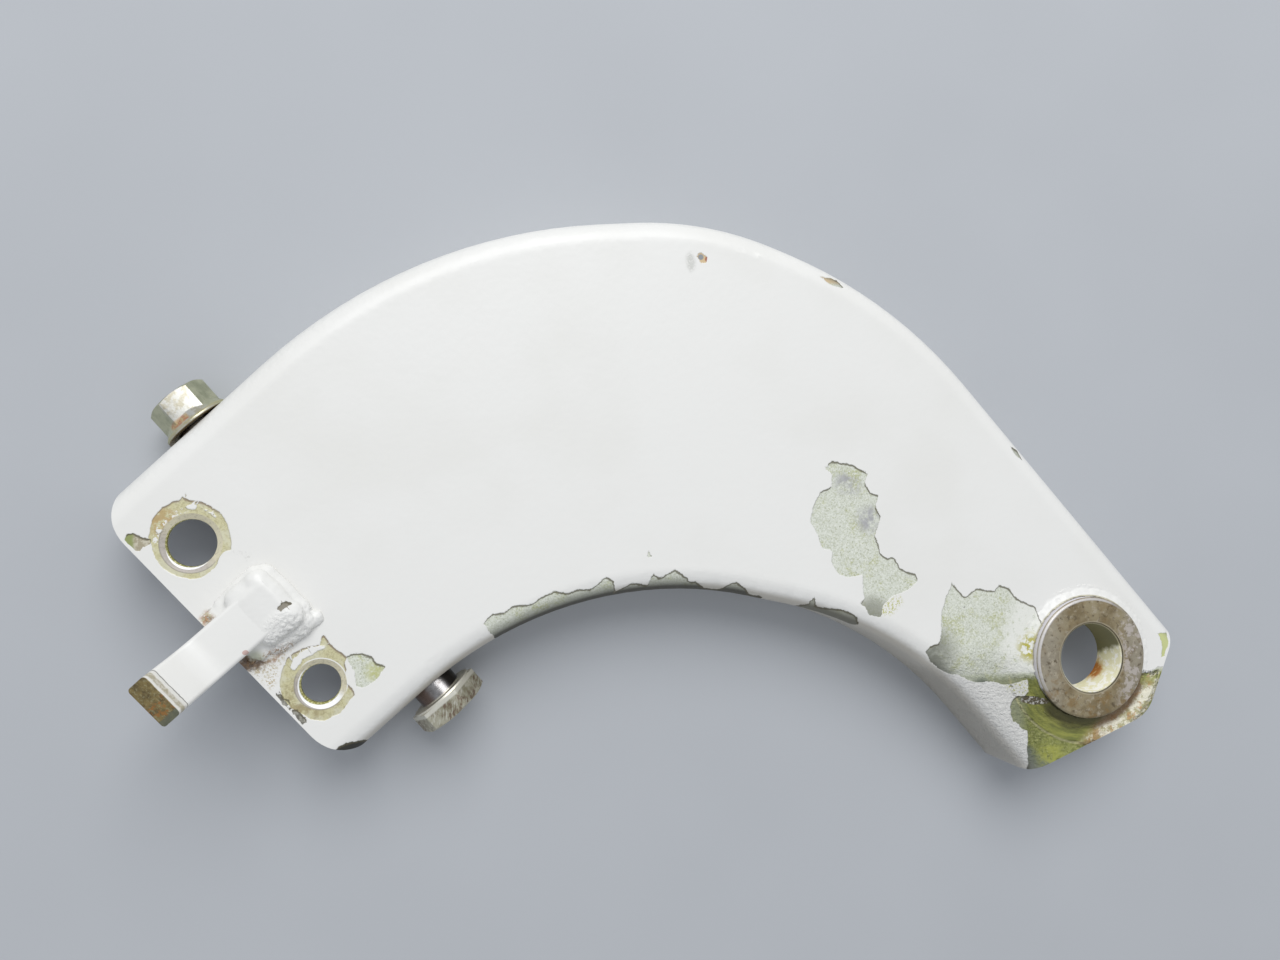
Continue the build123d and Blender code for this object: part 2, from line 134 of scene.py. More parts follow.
PATCHES = (
    Patch("upper washer mark", Wear.PLATE, (
        (-207.6, 29.7), (-207.3, 31.0), (-206.9, 33.2), (-206.0, 34.6), (-205.0, 35.7),
        (-203.8, 36.3), (-203.0, 37.0), (-202.0, 37.0), (-200.7, 38.6), (-200.9, 37.3),
        (-199.0, 37.0), (-197.6, 36.8), (-196.2, 36.0), (-194.4, 34.8), (-193.2, 33.1),
        (-192.5, 31.0), (-192.1, 28.6), (-192.2, 27.1), (-193.5, 26.9), (-194.4, 25.6),
        (-194.9, 24.0), (-196.3, 22.7), (-198.0, 21.7), (-199.8, 21.5), (-201.8, 21.9),
        (-203.6, 22.8), (-205.1, 24.0), (-206.2, 25.5), (-206.8, 27.2), (-207.0, 28.6))),
    Patch("flake on the upper mark", Wear.PAINT, (
        (-200.9, 36.0), (-199.6, 36.4), (-198.4, 36.1), (-198.9, 35.3), (-200.3, 35.4))),
    Patch("streak on the upper mark", Wear.PAINT, (
        (-198.0, 35.8), (-196.8, 35.4), (-195.5, 34.5), (-194.6, 33.6), (-194.9, 33.5),
        (-196.3, 34.5), (-197.6, 35.3))),
    Patch("spot on the upper mark", Wear.PAINT, (
        (-206.4, 31.2), (-205.4, 31.8), (-204.9, 31.0), (-205.8, 30.4))),
    Patch("heel tag", Wear.PRIMER, (
        (-207.1, 29.6), (-208.3, 29.6), (-209.3, 30.1), (-210.3, 30.6), (-211.6, 30.3),
        (-211.9, 29.0), (-210.6, 28.0), (-209.9, 27.1), (-209.2, 26.9), (-208.5, 27.9),
        (-207.2, 28.5))),
    Patch("lower washer mark", Wear.PLATE, (
        (-174.9, 8.0), (-174.5, 9.7), (-173.9, 9.4), (-173.3, 8.3), (-172.0, 6.9), (-170.6, 5.9),
        (-169.7, 5.0), (-170.2, 4.0), (-169.8, 2.6), (-170.0, 1.0), (-169.8, -0.1),
        (-168.6, -1.4), (-168.1, -2.6), (-169.3, -4.1), (-170.9, -6.3), (-172.6, -6.9),
        (-174.0, -7.7), (-176.6, -7.3), (-178.3, -6.1), (-180.4, -4.9), (-182.2, -2.7),
        (-182.7, 0.2), (-182.2, 3.2), (-181.3, 5.2), (-180.0, 6.2), (-178.0, 7.2),
        (-176.4, 7.6))),
    Patch("overspray on the lower mark", Wear.PAINT, (
        (-177.8, 6.9), (-176.9, 7.2), (-175.0, 7.6), (-173.7, 7.5), (-173.9, 7.0),
        (-175.4, 6.6), (-176.3, 5.8), (-177.3, 5.4), (-178.4, 4.9), (-178.6, 4.2),
        (-179.4, 3.5), (-179.8, 2.7), (-180.6, 2.9), (-180.8, 3.7), (-180.1, 4.4),
        (-180.5, 4.8), (-179.4, 5.6), (-179.0, 6.1), (-178.2, 6.5))),
    Patch("primer beside the lower hole", Wear.PRIMER, (
        (-169.8, 5.2), (-168.6, 5.6), (-167.3, 5.8), (-166.0, 5.6), (-164.9, 5.1),
        (-164.2, 4.2), (-163.5, 3.4), (-162.3, 3.1), (-162.2, 2.5), (-163.1, 1.8),
        (-163.5, 0.8), (-164.2, 0.0), (-165.2, -0.7), (-166.5, -1.2), (-167.7, -1.1),
        (-167.9, 0.4), (-168.3, 2.3), (-168.9, 3.6))),
    Patch("chip on the strap's end", Wear.PRIMER, (
        (-182.7, 15.6), (-182.0, 16.8), (-181.2, 17.2), (-180.0, 16.6), (-181.9, 15.3))),
    Patch("heel foot", Wear.PRIMER, (
        (-172.2, -14.0), (-171.3, -13.1), (-169.4, -12.5), (-166.5, -12.4), (-164.6, -13.0),
        (-164.0, -16.0), (-170.0, -18.0))),
    Patch("upper heel end strip", Wear.PRIMER, (
        (-183.5, -1.9), (-182.5, -1.5), (-181.8, -3.0), (-180.9, -3.1), (-180.5, -4.0),
        (-181.7, -4.6))),
    Patch("lower heel end strip", Wear.PRIMER, (
        (-181.0, -5.0), (-179.2, -5.2), (-178.5, -6.2), (-177.7, -6.9), (-177.4, -7.8),
        (-178.3, -8.2))),
    Patch("by the strap", Wear.SPECKS, (
        (-198.2, 13.6), (-196.9, 15.5), (-195.4, 14.7), (-194.4, 14.3), (-195.0, 13.0),
        (-196.4, 12.2), (-197.4, 11.6))),
    Patch("between strap and lower hole", Wear.SPECKS, (
        (-191.0, 5.0), (-187.0, 6.0), (-183.5, 8.0), (-180.0, 9.0), (-179.6, 7.6), (-181.0, 5.9),
        (-182.6, 3.4), (-183.1, 0.4), (-184.0, -1.6), (-187.5, 1.6))),
    Patch("scuff by the upper hole", Wear.SPECKS, (
        (-192.4, 27.3), (-190.2, 27.0), (-188.4, 26.6), (-188.2, 25.2), (-189.2, 24.6),
        (-190.0, 26.2), (-192.2, 26.5))),
    Patch("rust under the strap", Wear.RUST, (
        (-191.0, 4.4), (-189.0, 6.2), (-187.2, 5.2), (-185.5, 5.2), (-184.0, 5.8),
        (-182.5, 6.6), (-180.8, 7.6), (-181.0, 6.6), (-182.4, 5.3), (-183.6, 4.3),
        (-185.0, 3.6), (-187.0, 3.0), (-189.6, 2.9))),
    Patch("throat island", Wear.PRIMER, (
        (-65.8, 44.5), (-64.0, 46.0), (-61.5, 45.6), (-58.8, 45.1), (-57.5, 44.2), (-55.4, 43.6),
        (-56.2, 41.0), (-54.6, 38.7), (-52.7, 38.4), (-53.6, 35.6), (-52.3, 33.4), (-53.6, 29.0),
        (-52.3, 25.0), (-50.6, 23.8), (-49.2, 24.2), (-47.6, 21.6), (-45.5, 20.7),
        (-43.8, 20.3), (-43.1, 18.8), (-45.5, 16.6), (-49.0, 15.5), (-51.8, 13.2),
        (-52.2, 10.5), (-55.0, 11.0), (-56.3, 13.2), (-57.6, 13.6), (-56.4, 14.6),
        (-56.8, 20.2), (-60.3, 19.7), (-62.2, 20.2), (-64.1, 22.7), (-64.1, 25.8),
        (-66.3, 26.3), (-67.4, 29.0), (-69.3, 32.4), (-68.6, 35.6), (-66.8, 39.0),
        (-64.1, 40.1), (-64.0, 43.0))),
    Patch("island specks", Wear.SPECKS, (
        (-52.6, 13.4), (-50.3, 14.9), (-47.4, 15.6), (-46.6, 13.6), (-48.4, 11.6),
        (-50.0, 10.6), (-52.4, 10.4))),
    Patch("primer beside the bushing", Wear.PRIMER, (
        (-34.5, 18.3), (-33.0, 16.2), (-31.2, 14.5), (-29.6, 15.7), (-28.3, 16.6), (-26.0, 16.1),
        (-23.8, 16.0), (-22.5, 17.4), (-19.8, 16.4), (-18.6, 14.6), (-17.3, 13.7),
        (-13.0, 12.0), (-10.0, 0.0), (-13.3, -4.0), (-15.4, -4.9), (-18.5, -5.7),
        (-21.0, -6.1), (-24.0, -5.2), (-29.0, -5.1), (-30.5, -4.5), (-32.5, -3.3),
        (-35.0, -3.0), (-37.0, -2.0), (-39.2, -0.3), (-40.9, 2.2), (-40.0, 3.5), (-37.8, 4.2),
        (-37.2, 7.0), (-37.2, 11.0), (-36.4, 13.5))),
    Patch("flakes above the stain", Wear.SPECKS, (
        (-22.0, -6.0), (-15.2, -5.0), (-14.8, -8.4), (-18.4, -8.6), (-20.8, -7.4))),
    Patch("stain below the bushing", Wear.PRIMER, (
        (-15.3, -4.6), (-15.1, -7.8), (-16.0, -8.8), (-17.8, -8.8), (-19.0, -9.3),
        (-19.8, -10.5), (-19.7, -12.5), (-19.2, -14.4), (-17.8, -15.1), (-17.0, -16.3),
        (-15.5, -17.2), (-15.2, -19.5), (-15.4, -21.5), (-14.9, -23.0), (-14.4, -25.3),
        (-14.0, -30.0), (16.0, -24.0), (28.0, -8.0), (21.3, -3.2), (20.3, -3.1), (17.4, -4.4),
        (14.0, -4.5), (3.4, 1.6), (-12.4, -1.7))),
    Patch("tip", Wear.PRIMER, (
        (19.9, 4.9), (23.2, 5.0), (23.0, 2.8), (22.0, 0.5), (21.6, -1.1), (20.8, -0.9),
        (21.1, 2.0), (20.5, 3.8))),
    Patch("throat strip", Wear.PRIMER, (
        (-142.1, 11.3), (-140.4, 13.2), (-138.0, 13.2), (-136.0, 14.9), (-132.1, 14.9),
        (-130.0, 16.5), (-127.0, 17.8), (-123.9, 17.2), (-122.5, 18.1), (-119.0, 18.0),
        (-116.0, 20.6), (-114.1, 19.5), (-113.7, 17.0), (-110.1, 19.2), (-106.2, 18.5),
        (-105.6, 21.3), (-103.8, 20.0), (-100.7, 22.0), (-98.0, 20.3), (-97.4, 18.7),
        (-96.3, 19.7), (-92.9, 17.5), (-89.4, 17.3), (-87.0, 19.3), (-84.5, 17.8), (-82.9, 16.1),
        (-79.4, 15.4), (-79.4, 11.0), (-102.2, 11.5), (-120.9, 8.0), (-135.9, 4.0),
        (-140.5, 9.0))),
    Patch("throat sliver", Wear.PRIMER, (
        (-72.0, 12.9), (-69.2, 13.8), (-68.2, 15.4), (-67.5, 13.2), (-65.0, 12.6),
        (-61.0, 12.3), (-58.0, 10.9), (-56.6, 8.6), (-60.0, 8.2), (-66.0, 10.2))),
    Patch("face speck", Wear.PRIMER, ((-107.0, 24.7), (-106.3, 26.9), (-105.6, 24.9))),
    Patch("crown speck", Wear.PRIMER, (
        (-95.6, 91.6), (-94.4, 92.0), (-93.7, 91.6), (-93.3, 90.9), (-92.6, 90.3), (-93.5, 89.9),
        (-93.8, 89.2), (-94.7, 89.1), (-95.0, 89.6), (-94.6, 90.1), (-95.5, 90.5))),
    Patch("crown scuff", Wear.SPECKS, (
        (-98.2, 91.4), (-96.6, 92.3), (-95.7, 89.9), (-95.9, 88.3), (-96.8, 87.1), (-97.9, 87.9),
        (-98.2, 89.7))),
    Patch("back sliver", Wear.PRIMER, ((-67.0, 88.2), (-62.2, 87.6), (-60.2, 85.2), (-63.6, 86.0))),
    Patch("back nick", Wear.PRIMER, ((-18.8, 50.0), (-16.7, 48.8), (-15.7, 46.5), (-18.1, 48.1))),
)


@dataclass(frozen=True)
class Mouth:
    """Tones on the bevelled mouth of a mounting hole, each bounded by a circle.

    Args:
        hole: The hole's centre.
        radius: The mouth's radius on the face.
        olive: Centre of the olive plate of the bore.
        olive_radius: Radius to which the plate reaches up the bevel.
        glint: Centre of the circle that bounds the bright crescent, a painted glint on the bevel
            with white paint left in it.
        glint_radius: Radius of that circle.
        rim: Strength of the pale line round the mouth.
    """

    hole: Place
    radius: float
    olive: Place
    olive_radius: float
    glint: Place
    glint_radius: float
    rim: float


MOUTHS = (
    Mouth(UPPER_HOLE, UPPER_MOUTH_RADIUS, (-199.85, 28.55), 4.85, (-200.05, 27.8), 4.5, 0.0),
    Mouth(LOWER_HOLE, LOWER_MOUTH_RADIUS, (-174.95, -0.4), 4.15, (-174.6, -0.5), 4.75, 1.0),
)


@dataclass(frozen=True)
class WeldRow:
    """A row of weld drops, placed by way inwards from the heel's edge and way to the side.

    Args:
        start: Place of the first drop.
        end: Place of the last drop.
        count: Number of drops.
        height: Height of their centres over the face.
        radius: Their radius.
    """

    start: Place
    end: Place
    count: int
    height: float
    radius: float

    def drops(self) -> Iterator[tuple[float, float, float, float]]:
        """Yields way inwards, way to the side, height and radius of each drop."""
        swell, beat = 0.05, 5.0
        for step in range(self.count):
            share = step / (self.count - 1)
            inward, side = (a + (b - a) * share for a, b in zip(self.start, self.end))
            yield inward, side, self.height, self.radius * (1.0 + swell * math.sin(beat * step))


STRAP_WELD = (
    WeldRow((9.2, 4.5), (14.2, 4.5), 5, 2.5, 2.8),
    WeldRow((8.6, 6.9), (15.0, 7.3), 6, 0.4, 2.5),
    WeldRow((14.2, 4.4), (14.2, -4.4), 7, 2.6, 2.7),
    WeldRow((16.2, 5.0), (16.0, -4.4), 8, 0.4, 2.2),
    WeldRow((13.4, -4.4), (9.0, -4.4), 5, 2.3, 2.5),
    WeldRow((14.4, -5.9), (5.8, -5.7), 8, 0.1, 1.9),
    WeldRow((15.8, 7.8), (17.2, 8.4), 2, -0.2, 1.8),
    WeldRow((5.0, 6.5), (5.6, 6.3), 2, 0.9, 1.9),
)


def srgb(code: str) -> tuple[float, ...]:
    """Turns a hex colour into linear light.

    Args:
        code: Six hex digits after a hash sign.

    Returns:
        Red, green, blue and alpha.
    """
    channels = [int(code[i:i + 2], 16) / 255 for i in (1, 3, 5)]
    linear = [c / 12.92 if c <= 0.04045 else ((c + 0.055) / 1.055) ** 2.4 for c in channels]
    return (*linear, 1.0)


def ramp(value: float, start: float, end: float, least: float = 0.0) -> float:
    """Returns how far a value lies on the way from start to end, from least to 1."""
    return min(max((value - start) / (end - start), least), 1.0)


def strap_ways() -> tuple[Vector, Vector]:
    """Returns the way in which the strap leaves the heel, and the way to its side.

    Returns:
        Both ways, each of length 1.
    """
    angle = math.radians(STRAP_ANGLE)
    outwards = Vector((math.cos(angle), math.sin(angle), 0.0))
    return outwards, Vector((-outwards.y, outwards.x, 0.0))


class Graph:
    """Node tree of one material, in which lengths are millimetres."""

    def __init__(self, name: str) -> None:
        """Starts a material that holds only its shader.

        Args:
            name: The real finish that the material shows.
        """
        self.material = bpy.data.materials.new(name)
        self.material.use_nodes = True
        self.tree = self.material.node_tree
        self.shader = self.tree.nodes["Principled BSDF"]
        coordinates = self.add("ShaderNodeTexCoord")
        self.point = self.vector("SCALE", coordinates.outputs["Object"], scale=1 / MM)
        self.normal = coordinates.outputs["Normal"]
        self.axes = self.add("ShaderNodeSeparateXYZ", {0: self.point}).outputs

    def add(
        self, kind: str, inputs: dict[int | str, object] | None = None, **settings: object,
    ) -> bpy.types.Node:
        """Adds one node.

        Args:
            kind: The node's type.
            inputs: Input name or number to a value or to another node's output.
            settings: Properties of the node.

        Returns:
            The node.
        """
        node = self.tree.nodes.new(kind)
        for key, value in settings.items():
            setattr(node, key, value)
        for key, value in (inputs or {}).items():
            self.feed(node.inputs[key], value)
        return node

    def feed(self, socket: Socket, value: Value | Tone | Way) -> None:
        """Links an output to an input, or sets the input's value.

        Args:
            socket: The input.
            value: Output, number, vector or hex colour.
        """
        if isinstance(value, Socket):
            self.tree.links.new(value, socket)
        elif isinstance(value, str):
            socket.default_value = srgb(value)
        else:
            socket.default_value = value

    def math(self, operation: str, a: Value, b: Value = 0.0) -> Socket:
        """Returns the output of one scalar operation."""
        return self.add("ShaderNodeMath", {0: a, 1: b}, operation=operation).outputs[0]

    def plus(self, a: Value, b: Value, share: float = 1.0) -> Socket:
        """Returns a value with a share of another one added."""
        return self.math("ADD", a, b if share == 1.0 else self.math("MULTIPLY", b, share))

    def less(self, mask: Value) -> Socket:
        """Returns 1 less a mask."""
        return self.math("SUBTRACT", 1.0, mask)

    def both(self, *masks: Value) -> Socket:
        """Returns the product of some masks.

        Args:
            masks: Masks or numbers.

        Returns:
            The product.
        """
        product = masks[0]
        for mask in masks[1:]:
            product = self.math("MULTIPLY", product, mask)
        return product

    def either(self, a: Value, b: Value) -> Socket:
        """Returns the larger of two masks."""
        return self.math("MAXIMUM", a, b)

    def vector(self, operation: str, a: Way, b: Way = ORIGIN, scale: float = 1.0) -> Socket:
        """Returns the vector output of one vector operation."""
        inputs = {0: a, 3: scale} if operation == "SCALE" else {0: a, 1: b}
        return self.add("ShaderNodeVectorMath", inputs, operation=operation).outputs["Vector"]

    def measure(self, operation: str, a: Way, b: Way = ORIGIN) -> Socket:
        """Returns the number output of one vector operation."""
        return self.add("ShaderNodeVectorMath", {0: a, 1: b}, operation=operation).outputs["Value"]

    def dot(self, a: Way, b: Way) -> Socket:
        """Returns the dot product of two vectors."""
        return self.measure("DOT_PRODUCT", a, b)

    def from_place(self, centre: Place) -> Socket:
        """Returns the vector from a place on the face, without its height."""
        offset = self.vector("SUBTRACT", self.point, (*centre[:2], 0.0))
        return self.vector("MULTIPLY", offset, (1.0, 1.0, 0.0))

    def away(self, centre: Place) -> Socket:
        """Returns the distance from a place, measured along the face."""
        return self.measure("LENGTH", self.from_place(centre))

    def near(self, centre: Place, none: float, full: float) -> Socket:
        """Returns a mask that grows from one distance to another from a place."""
        return self.step(self.away(centre), none, full)

    def towards(self, centre: Place, direction: Place) -> Socket:
        """Returns how far a point lies in one direction from a place, from -1 to 1."""
        return self.dot(self.vector("NORMALIZE", self.from_place(centre)), (*direction, 0.0))

    def facing(self, direction: Way, none: float, full: float) -> Socket:
        """Returns a mask of the surface that faces one way."""
        return self.step(self.dot(self.normal, direction), none, full)

    def past(
        self, axis: str, none: float, full: float, start: float = 0.0, end: float = 1.0,
    ) -> Socket:
        """Returns a smooth step along one axis of the part, in millimetres."""
        return self.step(self.axes[axis], none, full, start, end)

    def stored(self, name: str) -> Socket:
        """Returns a distance that the mesh carries."""
        return self.add("ShaderNodeAttribute", attribute_name=name).outputs["Fac"]

    def noise(
        self, size: float, detail: float = 2.0, rough: float = 0.5,
        stretch: Triple = (1.0, 1.0, 1.0), seed: float = 0.0, place: Socket | None = None,
    ) -> Socket:
        """Returns cloudy noise, from 0 to 1.

        Args:
            size: Size of one cloud in millimetres.
            detail: Number of finer layers.
            rough: Strength of the finer layers.
            stretch: Factors on the three axes.
            seed: Offset that makes one pattern unlike another.
            place: Vector that takes the place of the point.

        Returns:
            The noise.
        """
        point = self.point if place is None else place
        moved = self.vector("ADD", self.vector("MULTIPLY", point, stretch), (seed, seed, seed))
        inputs = {"Vector": moved, "Scale": 1 / size, "Detail": detail, "Roughness": rough}
        return self.add("ShaderNodeTexNoise", inputs).outputs["Fac"]

    def swing(self, size: float, detail: float, rough: float, seed: float = 0.0) -> Socket:
        """Returns noise from -0.5 to 0.5."""
        return self.math("SUBTRACT", self.noise(size, detail, rough, seed=seed), 0.5)

    def spots(
        self, size: float, low: float, high: float, share: float = 1.0, detail: float = 3.0,
        seed: float = 0.0,
    ) -> Socket:
        """Returns a mask of scattered spots, where the noise rises past two limits."""
        return self.step(self.noise(size, detail, 0.65, seed=seed), low, high, 0.0, share)

    def step(
        self, value: Value, low: float, high: float, start: float = 0.0, end: float = 1.0,
    ) -> Socket:
        """Returns a smooth step of a value between two limits, which may fall.

        Args:
            value: What is compared.
            low: First limit.
            high: Second limit.
            start: Result at the first limit.
            end: Result at the second limit.

        Returns:
            The mask.
        """
        if low > high:
            low, high, start, end = high, low, end, start
        inputs = {
            "Value": value, "From Min": low, "From Max": high, "To Min": start, "To Max": end,
        }
        node = self.add("ShaderNodeMapRange", inputs, interpolation_type="SMOOTHSTEP")
        return node.outputs["Result"]

    def band(self, value: Value, low: float, high: float, soft: float) -> Socket:
        """Returns a mask that is 1 between two limits."""
        rise = self.step(value, low - soft, low + soft)
        return self.both(rise, self.step(value, high + soft, high - soft))

    def mix(self, factor: Value, a: Tone, b: Tone) -> Socket:
        """Returns a blend of two colours, each a socket or a hex code."""
        return self.add("ShaderNodeMix", {0: factor, 6: a, 7: b}, data_type="RGBA").outputs[2]

    def coats(self, colour: Tone, *coats: tuple[Value, Tone]) -> Socket:
        """Returns a colour with others laid over it in turn, each with its mask.

        Args:
            colour: The lowest colour.
            coats: Mask and colour of each coat.

        Returns:
            The colour.
        """
        for mask, tone in coats:
            colour = self.mix(mask, colour, tone)
        return colour

    def blend(self, factor: Value, a: Value, b: Value) -> Socket:
        """Returns a blend of two numbers."""
        return self.add("ShaderNodeMix", {0: factor, 2: a, 3: b}, data_type="FLOAT").outputs[0]

    def bump(
        self, height: Value, depth: float, strength: float = 1.0, under: Socket | None = None,
    ) -> Socket:
        """Returns a normal raised by a height pattern.

        Args:
            height: Pattern from 0 to 1.
            depth: Height in millimetres that 1 stands for.
            strength: Share of the effect.
            under: Normal that the pattern sits on.

        Returns:
            The normal.
        """
        inputs = {"Height": height, "Distance": depth * MM, "Strength": strength}
        if under is not None:
            inputs["Normal"] = under
        return self.add("ShaderNodeBump", inputs).outputs["Normal"]

    def finish(
        self, colour: Tone, rough: Value, metal: Value = 0.0,
        normal: Socket | None = None, specular: float = 0.5,
    ) -> bpy.types.Material:
        """Feeds the shader and returns the material.

        Args:
            colour: Base colour.
            rough: Roughness.
            metal: Share of metal.
            normal: Normal with the relief.
            specular: Strength of the gloss.

        Returns:
            The material.
        """
        values = {
            "Base Color": colour, "Roughness": rough, "Metallic": metal,
            "Specular IOR Level": specular,
        }
        if normal is not None:
            values["Normal"] = normal
        for name, value in values.items():
            self.feed(self.shader.inputs[name], value)
        return self.material


class WornPlaces:
    """Masks of the worn places with ragged edges, from the distances that a mesh carries."""

    raggedness = {"primer": 0.8, "plate": 0.45}

    def __init__(self, g: Graph) -> None:
        """Works out the masks.

        Args:
            g: Graph of the material.
        """
        self.g = g
        wander, jag = g.swing(2.6, 2, 0.5), g.swing(0.8, 3, 0.65, seed=7.0)
        self.ragged = g.plus(g.math("MULTIPLY", wander, 0.7), jag, 0.9)
        self.outside = g.both(g.past("Z", -5.6, -4.4), g.facing(UP, -0.05, 0.1))
        self.primer = g.both(self.inside("primer"), self.outside)
        self.plate = g.both(self.inside("plate"), self.outside)
        # Painted shadow: a dark line inside the worn places under the paint's edge on the side of
        # the light
        self.primer_lee = g.both(self.primer, g.less(self.inside("primer_lee", 0.12)))
        plate_lee = g.both(self.plate, g.less(self.inside("plate_lee", 0.12)))
        self.plate_lee = g.both(plate_lee, g.near((-193.0, 30.5), 3.0, 6.5))
        self.bare = g.either(self.primer, self.plate)

        self.ring = g.away(BUSHING_AXIS)
        low = g.step(g.plus(g.axes["Y"], self.ragged, 2.0), -3.6, -5.2)
        self.stain = g.both(g.step(self.ring, 31.0, 28.0), low)
        right = g.step(g.dot(g.point, (0.75, -0.66, 0.0)), 11.0, 14.5)
        self.crust = g.both(
            self.stain, right, g.step(g.plus(self.ring, self.ragged), 21.4, 20.6)
        )
        self.smear = self.dent()

    def inside(self, name: str, soft: float = 0.06) -> Socket:
        """Returns the mask of one kind of place, with a ragged edge."""
        share = self.raggedness[name.removesuffix("_lee")]
        return self.g.step(self.g.plus(self.g.stored(name), self.ragged, share), soft, -soft)

    def dent(self) -> Socket:
        """Returns the mask of the long dent in the stain, scraped to the metal.

        Returns:
            The mask.
        """
        g = self.g
        middle, half_length, half_width = (-13.9, -9.9), 3.6, 0.95
        offset = g.from_place(middle)
        along = g.math("DIVIDE", g.dot(offset, (0.994, -0.11, 0.0)), half_length)
        across = g.math("DIVIDE", g.dot(offset, (0.11, 0.994, 0.0)), half_width)
        reach = g.plus(g.math("POWER", along, 2.0), g.math("POWER", across, 2.0))
        return g.step(g.plus(reach, g.noise(1.0, 3, 0.6, seed=71.0)), 1.6, 1.3)


@dataclass(frozen=True)
class PaintFinish:
    """White enamel over grey-green primer over plated steel, worn where the part is handled.

    Args:
        white: The clean paint.
        dirty: The paint where it has dulled.
        hollow: The paint in the shade of the throat's bend.
        primer: The clean primer.
        chip: The primer on the raised weld and strap.
        film: Thickness of the paint in millimetres, about twice the real one so that it shows.
    """

    white: str = "#EBEAE6"
    dirty: str = "#DAD8D0"
    hollow: str = "#B4AD9E"
    primer: str = "#D6D9CC"
    chip: str = "#8E887A"
    film: float = 0.16

    def enamel(self, g: Graph) -> Socket:
        """Returns the colour of the whole paint.

        Args:
            g: Graph of the material.

        Returns:
            The colour.
        """
        dull = g.step(g.noise(26.0, 3, 0.5, seed=41.0), 0.4, 0.75, 0.0, 0.22)
        # Painted shade: the paint is darker where the bend faces down, away from the light
        under = g.both(g.facing((0.0, -1.0, 0.0), 0.3, 0.75), g.past("Z", -0.4, -2.2), 0.75)
        return g.coats(self.white, (dull, self.dirty), (under, self.hollow))

    def fresh_primer(self, g: Graph) -> Socket:
        """Returns the pale primer with its fine specks, smudges and overspray, and painted shade
        where it turns down the bend.

        Args:
            g: Graph of the material.

        Returns:
            The colour.
        """
        warm = g.both(g.spots(4.5, 0.52, 0.66, 0.6, seed=21.0), g.spots(0.5, 0.42, 0.56, seed=22.0))
        grain = g.noise(0.38, 2, 0.6, seed=23.0)
        high = g.step(g.dot(g.from_place((-60.2, 41.0)), (0.5, 0.87, 0.0)), 3.6, 0.5)
        smudge = g.either(
            g.both(high, g.near((-60.0, 41.0), 4.6, 1.2)), g.near((-55.0, 32.8), 4.6, 1.0)
        )
        by_bushing = g.both(g.near(BUSHING_AXIS, 25.0, 19.5), g.past("Y", -4.6, -2.4))
        foot = g.both(g.band(g.axes["Y"], -6.4, -3.4, 0.5), g.near(BUSHING_AXIS, 36.0, 33.0))
        brown = g.mix(g.spots(0.7, 0.45, 0.6, seed=25.0), "#A79E86", "#C6C0AC")
        heel_tag = g.mix(g.past("X", -209.8, -210.8), brown, "#8F985F")
        crown = g.coats(
            "#D3BB93",
            (g.near((-94.7, 90.9), 0.75, 0.5), "#8F9294"),
            (g.near((-93.1, 90.5), 0.8, 0.5), "#A8644A"),
        )
        heel_end = g.mix(g.spots(0.9, 0.4, 0.6, seed=24.0), "#A3A196", "#6C6A60")
        return g.coats(
            self.primer,
            (g.spots(0.4, 0.56, 0.64, 0.65, seed=3.0), "#A9AD88"),
            (g.spots(0.3, 0.6, 0.66, 0.6, seed=4.0), "#8F918A"),
            (warm, "#A8AC5E"),
            (g.step(grain, 0.5, 0.66, 0.0, 0.4), "#A5A88F"),
            (g.step(grain, 0.48, 0.34, 0.0, 0.4), "#F2F2EA"),
            (g.both(smudge, g.spots(2.4, 0.3, 0.62, 0.85, seed=11.0)), "#A09FA4"),
            # Painted shade on the bend: darker at the corner left of the bushing and at the throat
            # island's foot
            (g.both(g.near((-40.4, 1.4), 10.0, 2.0), g.spots(5.0, 0.1, 0.45, 0.9, seed=14.0)),
             "#75766B"),
            (g.both(g.near((-54.6, 11.0), 6.0, 2.0), 0.8), "#8A8B7F"),
            (g.both(g.near((-32.5, 8.0), 9.0, 6.0), g.spots(1.0, 0.66, 0.7, 0.7, seed=15.0)),
             "#77786F"),
            (g.both(by_bushing, g.spots(1.6, 0.34, 0.46, 0.85, seed=16.0)), "#E9E9E2"),
            (g.both(g.near((-14.5, 2.5), 4.6, 1.4), g.spots(1.3, 0.44, 0.52, seed=17.0)),
             "#B5AE4E"),
            (g.both(g.near((-164.0, 2.0), 3.2, 0.6), g.spots(0.9, 0.3, 0.56, 0.75, seed=18.0)),
             "#BABC74"),
            (g.both(foot, 0.45), "#A3A983"),
            (g.near((21.6, 2.6), 4.5, 3.5), "#C6CB8E"),
            (g.past("X", -205.0, -206.0), heel_tag),
            (g.past("Y", 86.0, 87.0), crown),
            (g.near((-181.0, -4.8), 6.0, 5.4), heel_end),
            (g.past("Z", 2.6, 3.2), self.chip),
        )

    def shaded(self, g: Graph, under: Tone) -> Socket:
        """Returns the primer's colour darkened where the sheet bends down, as painted shade and the
        dirt the bend holds; the heel's foot is painted darkest as shade, and the throat sliver a
        little lighter.

        Args:
            g: Graph of the material.
            under: The primer's colour.

        Returns:
            The colour.
        """
        return g.coats(
            under,
            (g.past("Z", -0.05, -1.0, 0.0, 0.55), "#7D7E72"),
            (g.past("Z", -0.8, -2.4, 0.0, 0.95), "#45433B"),
            (g.near((-168.0, -15.5), 6.5, 4.5), "#302F29"),
            (g.both(g.near((-64.0, 11.5), 9.0, 7.0), 0.35), "#A2A090"),
        )

